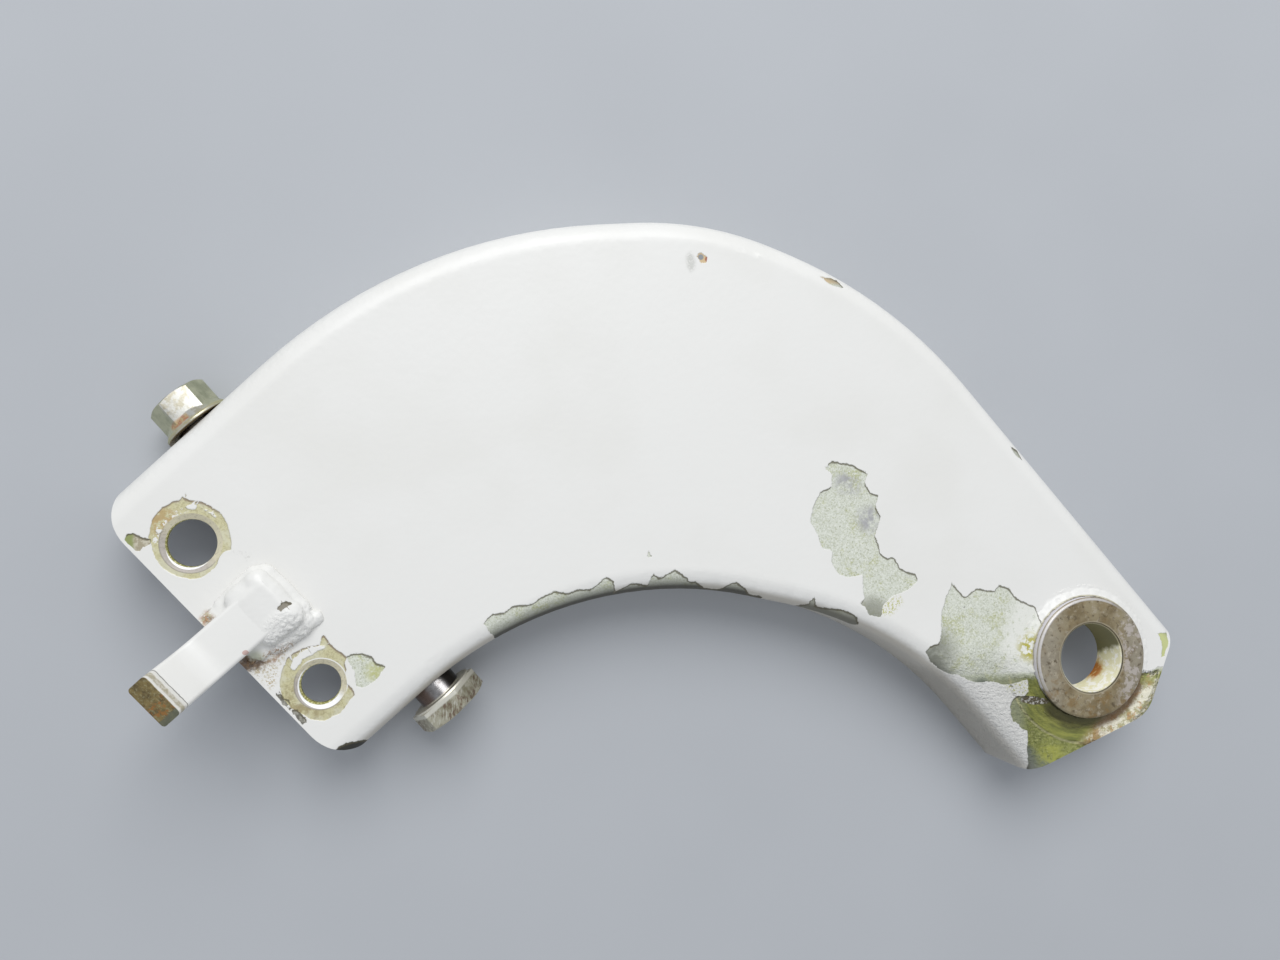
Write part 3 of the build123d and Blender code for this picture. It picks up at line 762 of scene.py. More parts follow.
    def stain(self, g: Graph, ring: Socket) -> Socket:
        """Returns the olive primer round the bushing's weld, streaked along the weld, with the
        bushing's shadow painted dark below it and a painted highlight along the weld's toe.

        Args:
            g: Graph of the material.
            ring: Distance from the bushing's axis.

        Returns:
            The colour.
        """
        turn = g.math("MULTIPLY", g.math("ARCTAN2", g.axes["Y"], g.axes["X"]), 19.0)
        polar = g.add("ShaderNodeCombineXYZ", {0: ring, 1: turn}).outputs[0]
        streak = g.noise(1.0, 3, 0.6, stretch=(0.8, 0.16, 1.0), seed=5.0, place=polar)
        streaked = g.coats(
            "#70753A",
            (g.step(streak, 0.34, 0.62), "#8F9145"),
            (g.step(streak, 0.6, 0.72, 0.0, 0.5), "#ACA96E"),
        )
        mottled = g.coats(
            "#6E7337",
            (g.step(g.noise(1.3, 4, 0.65, seed=4.0), 0.36, 0.64), "#8E9250"),
            (g.spots(0.5, 0.5, 0.64, 0.5, seed=4.5), "#B3B37C"),
        )
        # Painted shadow of the bushing and its bead below it, and a painted highlight along the
        # weld's toe
        shade = g.step(g.plus(ring, streak, 3.0), 20.6, 17.2)
        toe = g.band(g.plus(ring, streak, 0.8), 20.6, 21.1, 0.2)
        low = g.step(g.plus(ring, g.noise(2.6, 3, 0.6, seed=6.0), 3.0), 26.6, 28.2)
        gold = g.both(g.near((-9.5, -23.0), 5.0, 1.0), g.spots(1.6, 0.36, 0.56, 0.8, seed=4.8))
        return g.coats(
            streaked,
            (g.step(ring, 20.2, 21.4), mottled),
            (g.both(g.past("X", -14.5, -18.0), 0.7), "#9A9E86"),
            (g.both(shade, g.past("X", -14.0, -9.0), 0.9), "#433E1E"),
            (g.both(toe, g.past("X", 3.0, -2.0), 0.75), "#C3BF8E"),
            (g.both(low, 0.85), "#6C7369"),
            (gold, "#A5A74C"),
        )

    def crust(self, g: Graph, ring: Socket) -> Socket:
        """Returns the lumpy cream, khaki and rust colours at the bushing's outer side.

        Args:
            g: Graph of the material.
            ring: Distance from the bushing's axis.

        Returns:
            The colour.
        """
        end = g.step(g.dot(g.point, (0.6, 0.8, 0.0)), -10.5, -14.5)
        outer = g.both(g.past("Y", -8.5, -5.0), g.spots(2.0, 0.4, 0.52, seed=35.0))
        return g.coats(
            "#BBB68E",
            (g.spots(1.8, 0.42, 0.54, seed=33.0), "#EFEAD5"),
            (g.spots(2.2, 0.53, 0.63, 0.65, seed=34.0), "#B98A4E"),
            (g.spots(0.7, 0.58, 0.66, 0.6, seed=37.0), "#8B6A3E"),
            (g.both(g.step(g.plus(ring, g.noise(1.5, 2, seed=36.0)), 18.7, 17.0), 0.9), "#64482A"),
            (g.both(end, g.spots(1.6, 0.3, 0.5, 0.85, seed=39.0)), "#9A7A44"),
            (outer, "#9DA05C"),
        )

    def undercoat(self, g: Graph, worn: WornPlaces) -> Socket:
        """Returns what the paint has come off, with the stain, the crust and the scraped dent.

        Args:
            g: Graph of the material.
            worn: Masks of the worn places.

        Returns:
            The colour.
        """
        # Dark scraped metal with light grey specks, which are painted glints
        scrape = g.mix(g.spots(0.7, 0.5, 0.6, seed=72.0), "#5A523C", "#C4C2BC")
        under = g.coats(
            self.fresh_primer(g),
            (worn.stain, self.stain(g, worn.ring)),
            (worn.crust, self.crust(g, worn.ring)),
            (g.both(worn.smear, worn.stain), scrape),
        )
        return self.shaded(g, under)

    def plate(self, g: Graph) -> Socket:
        """Returns the bare plated steel of the washer marks.

        Args:
            g: Graph of the material.

        Returns:
            The colour.
        """
        arc = g.both(
            g.band(g.away(UPPER_HOLE), 6.1, 7.1, 0.2),
            g.step(g.towards(UPPER_HOLE, (-0.8, 0.6)), 0.6, 0.85),
            g.spots(0.9, 0.52, 0.56, seed=17.5),
        )
        return g.coats(
            "#D2CDA6",
            (g.spots(0.4, 0.46, 0.62, 0.8, seed=13.0), "#BBB48C"),
            (g.spots(0.9, 0.56, 0.66, 0.35, seed=14.5), "#9C9072"),
            (g.spots(3.4, 0.46, 0.62, 0.6, seed=15.0), "#DCDAC4"),
            (g.both(g.near((-205.0, 33.0), 4.2, 1.5), g.spots(1.2, 0.4, 0.56, 0.75, seed=16.5)),
             "#B99C68"),
            (g.both(g.near((-178.5, -4.5), 6.0, 2.0), g.spots(1.6, 0.36, 0.6, 0.75, seed=18.5)),
             "#9F8F68"),
            (arc, self.white),
        )

    def mouth(self, g: Graph, mouth: Mouth, colour: Tone) -> Socket:
        """Returns a colour with the bevelled mouth of one mounting hole added.

        Args:
            g: Graph of the material.
            mouth: Places and sizes of the mouth's tones.
            colour: Colour of the face round it.

        Returns:
            The colour.
        """
        ring, radius = g.away(mouth.hole), mouth.radius
        upper_right = g.towards(mouth.hole, (0.55, 0.83))
        olive = g.mix(g.spots(0.4, 0.5, 0.6, seed=61.0), "#8F8C4C", "#D3CF9C")
        # Painted glint: the bright crescent on the lower-left bevel, which faces the light; partly
        # white paint left in the mouth
        glint = g.both(
            g.near(mouth.glint, mouth.glint_radius + 0.05, mouth.glint_radius - 0.05),
            g.step(upper_right, 0.4, -0.2),
        )
        bevel = g.coats(
            "#BDB6AE",
            # Painted light: the upper-right bevel is lighter
            (g.step(upper_right, -0.6, 0.2), "#E0D9BE"),
            (g.spots(0.6, 0.5, 0.64, 0.35, seed=62.0), "#9A9588"),
            (glint, "#FFFFFF"),
            (g.near(mouth.olive, mouth.olive_radius + 0.1, mouth.olive_radius - 0.1), olive),
        )
        rim = g.both(
            g.band(ring, radius - 0.02, radius + 0.22, 0.05), g.step(upper_right, 0.1, 0.5)
        )
        lip = g.both(g.band(ring, radius - 0.1, radius + 0.1, 0.05), g.step(upper_right, 0.1, -0.3))
        return g.coats(
            colour,
            (g.step(ring, radius + 0.05, radius - 0.05), bevel),
            (g.both(rim, mouth.rim), "#EDECE6"),
            (g.both(lip, 0.6), "#958F84"),
        )

    def flecks(self, g: Graph, worn: WornPlaces) -> tuple[Socket, Socket]:
        """Returns the mask and the colour of the fine specks beside the worn places.

        Args:
            g: Graph of the material.
            worn: Masks of the worn places.

        Returns:
            The mask and the colour.
        """
        by_heel, at_crown = g.past("X", -194.0, -194.4), g.past("Y", 84.0, 85.0)
        dense = g.both(g.either(by_heel, at_crown), g.spots(0.5, 0.38, 0.5, 0.85, seed=86.0))
        fine = g.either(dense, g.spots(0.4, 0.5, 0.58, 0.9, seed=81.0))
        mask = g.both(g.step(g.stored("specks"), 0.4, -0.9), fine, worn.outside, g.less(worn.bare))
        near_rust = g.step(g.plus(g.axes["Y"], g.axes["X"], -0.42), 82.6, 84.2)
        tone = g.coats(
            "#D0CAB8",
            (g.spots(1.1, 0.48, 0.58, seed=82.0), "#BDAE8C"),
            (near_rust, "#A47C55"),
            (by_heel, g.mix(g.spots(0.7, 0.45, 0.58, seed=85.0), "#B3A87E", "#A9743E")),
            (g.past("Y", 18.0, 19.0), "#D2D0CB"),
            (g.past("X", -121.0, -120.0), "#BDBD74"),
            (at_crown, "#C9C9C3"),
        )
        return mask, tone

    def rust(self, g: Graph, worn: WornPlaces) -> tuple[Socket, Socket]:
        """Returns the mask and the colour of the rust beside the strap, old towards the edge.

        Args:
            g: Graph of the material.
            worn: Masks of the worn places.

        Returns:
            The mask and the colour.
        """
        fading = g.math("MULTIPLY", g.plus(g.axes["X"], 188.0), 0.13)
        mask = g.step(g.plus(g.stored("rust"), g.plus(fading, worn.ragged, 2.6)), 0.5, -0.5)
        old = g.mix(g.spots(1.2, 0.44, 0.6, seed=84.0), "#54391C", "#7A5A34")
        return g.both(mask, worn.outside, 0.9), g.mix(g.past("X", -187.5, -183.0), old, "#A27C56")

    def chipped(self) -> bpy.types.Material:
        """Builds the finish of the arm and the weld beads, which carry the patches' distances.

        Returns:
            The material.
        """
        # Brushed enamel: a half gloss, with a raised edge where it has flaked off matt primer
        g = Graph("Chipped white enamel over green primer")
        worn = WornPlaces(g)
        # Where the painted shadow under the primer patches' edges shows
        painted_shadow_reach = g.both(g.past("X", 12.0, 8.0), g.past("Y", 88.0, 87.0), 0.8)
        colour = g.coats(
            self.enamel(g),
            (worn.primer, self.undercoat(g, worn)),
            (worn.plate, self.plate(g)),
            # Painted shadow lines under the paint's edges, brownish on the plate
            (g.both(worn.primer_lee, painted_shadow_reach), "#5B5540"),
            (g.both(worn.plate_lee, 0.7), "#8A7568"),
        )
        for mouth in MOUTHS:
            colour = self.mouth(g, mouth, colour)
        # Painted shade: greenish olive-grey on the lower left of the weld lump beside the strap
        lump_painted_shade = g.both(g.near((-187.2, 5.5), 2.6, 0.8), g.past("Z", 0.2, 0.6), 0.75)
        line = g.both(
            g.band(worn.ring, BUSHING_RADIUS - 0.1, BUSHING_RADIUS + 0.45, 0.12),
            g.past("Y", -3.5, 0.0), 0.7,
        )
        colour = g.coats(
            colour, self.flecks(g, worn), (lump_painted_shade, "#A3A78E"), self.rust(g, worn),
            (line, "#A9A27C"),
        )
        cover = g.less(g.either(worn.inside("primer", 0.16), worn.inside("plate", 0.16)))
        normal = g.bump(cover, self.film, 1.0, self.relief(g, worn))
        gloss = g.blend(g.noise(8.0, 2, 0.5, seed=61.0), 0.3, 0.44)
        return g.finish(colour, g.blend(worn.bare, gloss, 0.62), g.both(worn.plate, 0.35), normal)

    def relief(self, g: Graph, worn: WornPlaces) -> Socket:
        """Returns the normal with the orange peel, the wrinkles and the welds' roughness.

        Args:
            g: Graph of the material.
            worn: Masks of the worn places.

        Returns:
            The normal.
        """
        normal = g.bump(g.noise(1.6, 2, 0.5, seed=51.0), 0.05, 0.6)
        for mouth in MOUTHS:
            slope = g.either(g.math("SUBTRACT", mouth.radius, g.away(mouth.hole)), 0.0)
            normal = g.bump(slope, 0.65, 1.0, normal)
        wrinkle = g.noise(0.9, 4, 0.66, stretch=(1.0, 1.3, 1.0), seed=53.0)
        crinkle = g.noise(0.8, 3, 0.6, stretch=(1.3, 1.0, 1.0), seed=59.0)
        by_strap = g.both(g.near((-181.0, 10.6), 5.5, 3.5), g.past("Z", 0.1, 0.6))
        weld_toe = g.step(g.plus(worn.ring, g.noise(2.0, 2, seed=57.0)), 21.4, 20.4)
        coats = (
            (wrinkle, g.near((-27.0, -15.0), 22.0, 12.0), 1.0, 1.0),
            (g.noise(2.0, 3, 0.55, seed=54.0), g.past("Z", -0.15, -1.2), 0.22, 0.9),
            (g.noise(0.5, 3, 0.6, seed=55.0), worn.bare, 0.06, 0.7),
            (crinkle, by_strap, 0.45, 1.0),
            (worn.stain, g.noise(0.9, 4, 0.6, seed=56.0), 0.25, 0.7),
            (worn.stain, weld_toe, 0.5, 1.0),
            (worn.crust, g.noise(1.5, 3, 0.6, seed=58.0), 0.7, 1.0),
            (worn.smear, -1.0, 0.5, 0.8),
        )
        for height, mask, depth, strength in coats:
            normal = g.bump(g.both(height, mask), depth, strength, normal)
        return normal

    def strap(self) -> bpy.types.Material:
        """Builds the finish of the strap, which is bare at its cut end.

        Returns:
            The material.
        """
        # Enamel over a rolled bar: half gloss on the bar, dull brown rust on the sawn end
        g = Graph("White enamel on rolled strap, bare rusty end")
        outwards, sideways = strap_ways()
        offset, tilt = g.from_place(STRAP_EDGE), math.radians(STRAP_BEND)
        lift = g.math("SUBTRACT", g.axes["Z"], STRAP_THICKNESS / 2)
        level = g.math("MULTIPLY", g.dot(offset, outwards), math.cos(tilt))
        back = g.math("SUBTRACT", g.plus(level, lift, math.sin(tilt)), STRAP_TRAVEL)
        side = g.dot(offset, sideways)
        ragged = g.swing(1.4, 3, 0.6)
        worn = g.plus(back, ragged, 0.6)
        bare = g.step(worn, -3.2, -3.0)
        swing = g.plus(side, ragged, 3.0)
        streak = g.both(
            g.step(swing, -0.5, 1.0), g.step(swing, 4.6, 3.4), g.spots(0.8, 0.5, 0.6, 0.8, seed=5.0)
        )
        corner = g.step(
            g.plus(side, ragged, 0.5), STRAP_HALF_WIDTH - 1.3, STRAP_HALF_WIDTH - 1.0
        )
        edge = g.mix(g.spots(0.9, 0.45, 0.6, seed=8.0), "#B9B29C", "#D2CDC0")
        sawn = g.coats(
            "#918052",
            (g.spots(2.2, 0.36, 0.64, detail=4.0, seed=3.0), "#66583A"),
            (g.spots(0.7, 0.5, 0.66, 0.6, seed=6.0), "#A9A27C"),
            (streak, "#A8733C"),
            (g.both(corner, 0.8), "#6C7262"),
            (g.step(g.plus(back, ragged, 0.3), -0.1, -0.3),
             g.mix(g.band(worn, -2.1, -0.9, 0.25), "#ECEAE4", edge)),
        )
        colour = g.coats(
            self.enamel(g),
            (bare, sawn),
            (g.both(g.band(worn, -3.25, -3.0, 0.08), 0.8), "#6A645E"),
            (g.step(g.plus(g.away((-188.5, 7.3)), ragged), 0.6, 0.45), "#CDB0A8"),
            (g.near((-181.3, 16.3), 1.3, 1.1), self.chip),
        )
        normal = g.bump(g.noise(1.5, 2, 0.5, seed=9.0), 0.05, 0.6)
        normal = g.bump(g.both(g.noise(0.6, 3, 0.7, seed=11.0), bare), 0.16, 0.9, normal)
        return g.finish(colour, g.blend(bare, 0.34, 0.55), g.both(bare, 0.4), normal)


@dataclass(frozen=True)
class SteelFinish:
    """Unpainted steel pieces, each with its own tarnish.

    Args:
        turning: Turning marks a radian per millimetre, drawn 0.4 mm apart so that they show.
        grain: Depth of the plate's grain in millimetres.
    """

    turning: float = 16.0
    grain: float = 0.03

    def bushing(self) -> bpy.types.Material:
        """Builds the oxidised turned steel of the damper bushing.

        Returns:
            The material.
        """
        # Turned steel, brown-grey with age: satin, blotched, with paint and a painted highlight on
        # its upper-left wall and rim, and a stained bore with painted light low in it
        g = Graph("Oxidised turned steel bushing")
        ring = g.away(BUSHING_AXIS)
        upper_left = g.dot(g.point, (-0.7, 0.71, 0.0))
        # White on the upper-left wall: paint left there, lighter also as a painted highlight of the
        # light on that side
        painted = g.step(g.plus(upper_left, g.noise(2.0, 3, seed=8.0), 6.0), 5.0, 7.5)
        wall = g.both(
            g.facing(UP, 0.5, 0.2), g.step(ring, BUSHING_RADIUS - 0.4, BUSHING_RADIUS - 0.2)
        )
        face = self.oxide(g, ring, upper_left)
        face = g.mix(wall, face, g.mix(painted, "#77705F", "#DCD9DE"))
        bore = g.step(ring, BORE_RADIUS + 0.5, BORE_RADIUS + 0.2)
        lip = g.band(ring, BORE_RADIUS + 0.1, BORE_RADIUS + 0.75, 0.12)
        colour = g.coats(
            face, (bore, self.bore(g)), (g.both(lip, 0.6, g.past("Z", 1.0, 2.0)), "#BDB39B")
        )
        lathe = g.bump(g.math("SINE", g.math("MULTIPLY", ring, self.turning)), 0.004, 0.35)
        pits = g.bump(g.noise(0.6, 4, 0.7, seed=13.0), 0.05, 0.7, lathe)
        pits = g.bump(g.both(bore, g.axes["Z"], -1.0), 0.8, 1.0, pits)
        rough = g.blend(g.noise(2.5, 3, 0.6, seed=15.0), 0.36, 0.6)
        inside = g.either(bore, g.both(wall, painted))
        return g.finish(colour, rough, g.blend(inside, 0.55, 0.0), pits)

    def oxide(self, g: Graph, ring: Socket, upper_left: Socket) -> Socket:
        """Returns the blotched brown and grey of the bushing's face.

        Args:
            g: Graph of the material.
            ring: Distance from the bushing's axis.
            upper_left: Way towards the upper left, where the rim carries a painted highlight.

        Returns:
            The colour.
        """
        cool = g.either(g.past("X", -5.0, -11.0), g.past("X", 7.0, 11.0))
        low_side = g.past("Y", -2.0, -8.0, 0.35, 1.0)
        rim = g.both(
            g.band(ring, BUSHING_RADIUS - 0.75, BUSHING_RADIUS - 0.2, 0.1), g.past("Z", 1.2, 2.1)
        )
        pale = g.spots(1.7, 0.5, 0.58, 0.7, detail=4.0, seed=5.0)
        return g.coats(
            "#A49779",
            (g.step(g.noise(4.5, 4, 0.6), 0.38, 0.66), "#87785A"),
            (g.both(cool, 0.5), "#B0AB9F"),
            (g.spots(1.5, 0.52, 0.68, 0.75, detail=5.0, seed=3.0), "#BFB5A0"),
            (g.spots(1.3, 0.52, 0.68, 0.8, detail=5.0, seed=4.0), "#5F533F"),
            (g.both(low_side, g.spots(3.0, 0.5, 0.66, 0.6, seed=7.0)), "#8F7344"),
            (g.both(g.past("X", 5.0, 10.0), pale), "#D2C9C2"),
            # Painted highlight on the rim's upper left
            (g.both(rim, g.step(upper_left, 0.0, 8.0, 0.0, 0.8)), "#DAD7D6"),
        )

    def bore(self, g: Graph) -> Socket:
        """Returns the olive of the bushing's bore, cream low where its wall faces the light as
        painted light, with rust low on its right.

        Args:
            g: Graph of the material.

        Returns:
            The colour.
        """
        slope = g.dot(g.point, (0.0, 1.0, -0.35))
        low = g.step(g.plus(slope, g.noise(2.5, 3, seed=12.0), 3.0), 4.4, 2.4)
        reach = g.measure("LENGTH", g.vector("SUBTRACT", g.point, (6.6, -4.4, -5.6)))
        rusty = g.plus(reach, g.noise(1.2, 3, 0.6, seed=9.0), 3.0)
        return g.coats(
            "#77734E",
            # Painted light: cream on the lower wall, which faces the light
            (low, "#EDE8C2"),
            (g.both(low, g.spots(1.6, 0.46, 0.6, seed=10.0)), "#FCFAF0"),
            (g.step(rusty, 5.4, 3.0, 0.0, 0.9), "#D2AC66"),
            (g.both(g.step(rusty, 4.4, 2.8), g.spots(0.9, 0.3, 0.5, seed=11.0)), "#B2702E"),
        )

    def on_bolt(self, g: Graph) -> tuple[Socket, Socket]:
        """Returns the way along the bolt towards its head, and the level way from its axis.

        Args:
            g: Graph of the material.

        Returns:
            Both in millimetres.
        """
        angle = math.radians(BOLT_ANGLE)
        offset = g.vector("SUBTRACT", g.point, BOLT_CENTRE)
        along = g.dot(offset, (math.cos(angle), math.sin(angle), 0.0))
        return along, g.dot(offset, (-math.sin(angle), math.cos(angle), 0.0))

    def bolt(self) -> bpy.types.Material:
        """Builds the worn cadmium plate of the bolt's head and its bright shank.

        Returns:
            The material.
        """
        # Cadmium plate, worn by spanners: khaki, streaked and half dull, over a bright shank
        g = Graph("Worn cadmium plated bolt steel")
        along, across = self.on_bolt(g)
        head = g.step(along, HEAD_SEAT_ALONG - 0.4, HEAD_SEAT_ALONG + 0.1)
        streak = g.noise(0.6, 3, 0.6, stretch=(1.5, 0.3, 0.6), seed=5.0)
        worn = g.both(g.spots(3.0, 0.46, 0.6, seed=3.0), g.step(streak, 0.54, 0.44), 0.75)
        # Painted highlight: a pale band along the head's bearing edge
        rim = g.band(along, HEAD_SEAT_ALONG - 0.1, HEAD_SEAT_ALONG + 1.3, 0.2)
        plate = g.coats(
            "#C3BFAA",
            (g.step(g.noise(2.6, 4, 0.6), 0.38, 0.66), "#A09A82"),
            (g.step(streak, 0.54, 0.68, 0.0, 0.6), "#E8E6DC"),
            (worn, "#75594A"),
            (g.both(rim, 0.85), "#F0EDE0"),
        )
        shank = g.coats(
            "#9C9A9A",
            (g.step(g.noise(1.6, 3, 0.6, seed=7.0), 0.4, 0.7), "#787472"),
            # Painted shade either side of the shank's highlight: brown-grey on one side, near black
            # on the shadow side
            (g.step(across, -0.6, -2.4), "#6E5F57"),
            (g.step(across, 1.6, 3.0), "#3B3836"),
        )
        grain = g.bump(g.noise(0.4, 3, 0.6, seed=9.0), self.grain, 0.6)
        return g.finish(
            g.mix(head, shank, plate), g.blend(head, 0.26, 0.4), g.blend(head, 0.95, 0.75), grain
        )

    def nut(self) -> bpy.types.Material:
        """Builds the greenish plate of the nut, rusty only at its flange.

        Returns:
            The material.
        """
        # Cadmium plate gone green and chalky: soft sheen, upper flat paler as painted light,
        # painted shadow on the bearing face, rust at the flange
        g = Graph("Greenish cadmium plated nut steel")
        along, across = self.on_bolt(g)
        flange = g.step(along, NUT_SEAT_ALONG - 3.2, NUT_SEAT_ALONG - 1.8)
        worn = g.both(
            flange, g.band(across, -4.2, 0.1, 0.3),
            g.band(along, NUT_SEAT_ALONG - 2.5, NUT_SEAT_ALONG - 1.0, 0.2),
            g.spots(1.4, 0.34, 0.5, seed=7.0),
        )
        rim = g.band(along, NUT_SEAT_ALONG - 0.9, NUT_SEAT_ALONG - 0.3, 0.15)
        colour = g.coats(
            "#BEBFA2",
            (g.step(g.noise(3.0, 3, 0.5), 0.4, 0.66), "#A3A68A"),
            (g.spots(0.5, 0.56, 0.68, 0.35, seed=4.0), "#80826A"),
            # Painted light: flats that face up are paler
            (g.facing(UP, 0.55, 0.75),
             g.mix(g.spots(1.6, 0.46, 0.62, 0.8, seed=3.0), "#CBCAC3", "#B3AC95")),
            (worn, g.mix(g.spots(0.8, 0.45, 0.6, seed=5.0), "#B7A37C", "#AE7A5C")),
            (g.both(rim, 0.5), "#C4BB84"),
            # Painted shadow in the gap under the flange: the bearing face dark brown
            (g.step(along, NUT_SEAT_ALONG - 0.2, NUT_SEAT_ALONG - 0.05), "#80704C"),
        )
        grain = g.bump(g.noise(0.4, 3, 0.6, seed=9.0), self.grain, 0.6)
        return g.finish(colour, g.blend(worn, 0.34, 0.6), g.blend(worn, 0.7, 0.3), grain)


def select_only(piece: bpy.types.Object) -> None:
    """Makes one object the only selected and active one.

    Args:
        piece: The piece.
    """
    bpy.ops.object.select_all(action="DESELECT")
    piece.select_set(True)
    bpy.context.view_layer.objects.active = piece


def linked(name: str, data: bpy.types.ID) -> bpy.types.Object:
    """Puts a new object with some data into the scene.

    Args:
        name: The object's name.
        data: Its mesh, lamp or camera.

    Returns:
        The object.
    """
    made = bpy.data.objects.new(name, data)
    bpy.context.scene.collection.objects.link(made)
    return made


@contextmanager
def edited(piece: bpy.types.Object) -> Iterator[bmesh.types.BMesh]:
    """Opens a piece's mesh for editing and writes it back.

    Args:
        piece: The piece.
    """
    mesh = bmesh.new()
    mesh.from_mesh(piece.data)
    yield mesh
    mesh.to_mesh(piece.data)
    mesh.free()


def merged(node: str, name: str) -> bpy.types.Object:
    """Copies a node's mesh into a new object with its doubled corners joined.

    Args:
        node: The node.
        name: The object's name.

    Returns:
        The object.
    """
    piece = linked(name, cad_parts[node].data.copy())
    with edited(piece) as mesh:
        bmesh.ops.remove_doubles(mesh, verts=mesh.verts, dist=MERGE)
    return piece


def copy_of(node: str, name: str) -> bpy.types.Object:
    """Copies a node's mesh as a new piece.

    Args:
        node: The node that the piece stands for.
        name: The piece's name.

    Returns:
        The new object, riding on the part and shown in place of the node.
    """
    piece = merged(node, name)
    if piece.data.has_custom_normals:
        select_only(piece)
        bpy.ops.mesh.customdata_custom_splitnormals_clear()
    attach(piece, "root")
    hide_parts(node)
    return piece


def smooth(piece: bpy.types.Object, shade: Shade) -> None:
    """Shades a piece smooth below an edge angle."""
    select_only(piece)
    bpy.ops.object.shade_smooth_by_angle(angle=math.radians(shade.value))


def dress(piece: bpy.types.Object, material: bpy.types.Material) -> None:
    """Gives a piece its only material.

    Args:
        piece: The piece.
        material: Its finish.
    """
    piece.data.materials.clear()
    piece.data.materials.append(material)
    log.info("%s: %s, %d faces", piece.name, material.name, len(piece.data.polygons))


def apply(piece: bpy.types.Object, kind: str, **settings: object) -> None:
    """Adds a modifier and applies it.

    Args:
        piece: The piece.
        kind: The modifier's type.
        settings: Its properties.
    """
    select_only(piece)
    modifier = piece.modifiers.new(kind.title(), kind)
    for key, value in settings.items():
        setattr(modifier, key, value)
    bpy.ops.object.modifier_apply(modifier=modifier.name)


class WearMap:
    """Distance from each corner of a mesh to the nearest edge of the worn places."""

    far = 1e3

    def __init__(self, patches: tuple[Patch, ...], lee: float = 0.4) -> None:
        """Keeps the worn places.

        Args:
            patches: Outlines on the face.
            lee: Width in millimetres of the painted shadow line that a patch's paint edge casts
                into it, on the side of the light.
        """
        self.patches = patches
        self.lee = lee

    def distance(self, points: np.ndarray, wear: Wear) -> np.ndarray:
        """Returns millimetres from the nearest outline of a kind, below zero inside it.

        Args:
            points: Places on the face, a row each.
            wear: The kind.

        Returns:
            The distances.
        """
        nearest = np.full(len(points), self.far)
        for patch in self.patches:
            if patch.wear is wear:
                nearest = np.minimum(nearest, self.to_outline(points, patch.outline))
        return nearest

    def left_bare(self, points: np.ndarray, wear: Wear) -> np.ndarray:
        """Returns the distance of one kind, less what paint is left on it."""
        return np.maximum(self.distance(points, wear), -self.distance(points, Wear.PAINT))

    @staticmethod
    def to_outline(points: np.ndarray, outline: tuple[Place, ...]) -> np.ndarray:
        """Measures points against one outline.

        Args:
            points: Places on the face, a row each.
            outline: Corner points of the outline.

        Returns:
            Distance of each point from the outline, below zero inside it.
        """
        corners = np.array(outline)
        gap = np.full(len(points), WearMap.far)
        inside = np.zeros(len(points), dtype=bool)
        for start, end in zip(corners, np.roll(corners, -1, axis=0)):
            edge, offset = end - start, points - start
            share = np.clip(offset @ edge / (edge @ edge), 0, 1)
            gap = np.minimum(gap, np.linalg.norm(offset - share[:, None] * edge, axis=1))
            crosses = (start[1] > points[:, 1]) != (end[1] > points[:, 1])
            rise = edge[1] if edge[1] else 1e-9
            inside ^= crosses & (offset[:, 0] < edge[0] * offset[:, 1] / rise)
        return np.where(inside, -gap, gap)

    def store(self, piece: bpy.types.Object) -> None:
        """Writes the distances of every corner into the piece's mesh.

        Args:
            piece: The piece.
        """
        corners = np.empty(len(piece.data.vertices) * 3)
        piece.data.vertices.foreach_get("co", corners)
        flat = corners.reshape(-1, 3)[:, :2] / MM
        # Distances from points moved towards the light, for the painted shadow under the paint's
        # edges
        shifted = flat + self.lee * np.array(LIGHT_SIDE)
        layers = {
            "primer": self.left_bare(flat, Wear.PRIMER),
            "primer_lee": self.left_bare(shifted, Wear.PRIMER),
            "plate": self.left_bare(flat, Wear.PLATE),
            "plate_lee": self.distance(shifted, Wear.PLATE),
            "specks": self.distance(flat, Wear.SPECKS),
            "rust": self.distance(flat, Wear.RUST),
        }
        for name, values in layers.items():
            piece.data.attributes.new(name, "FLOAT", "POINT").data.foreach_set("value", values)


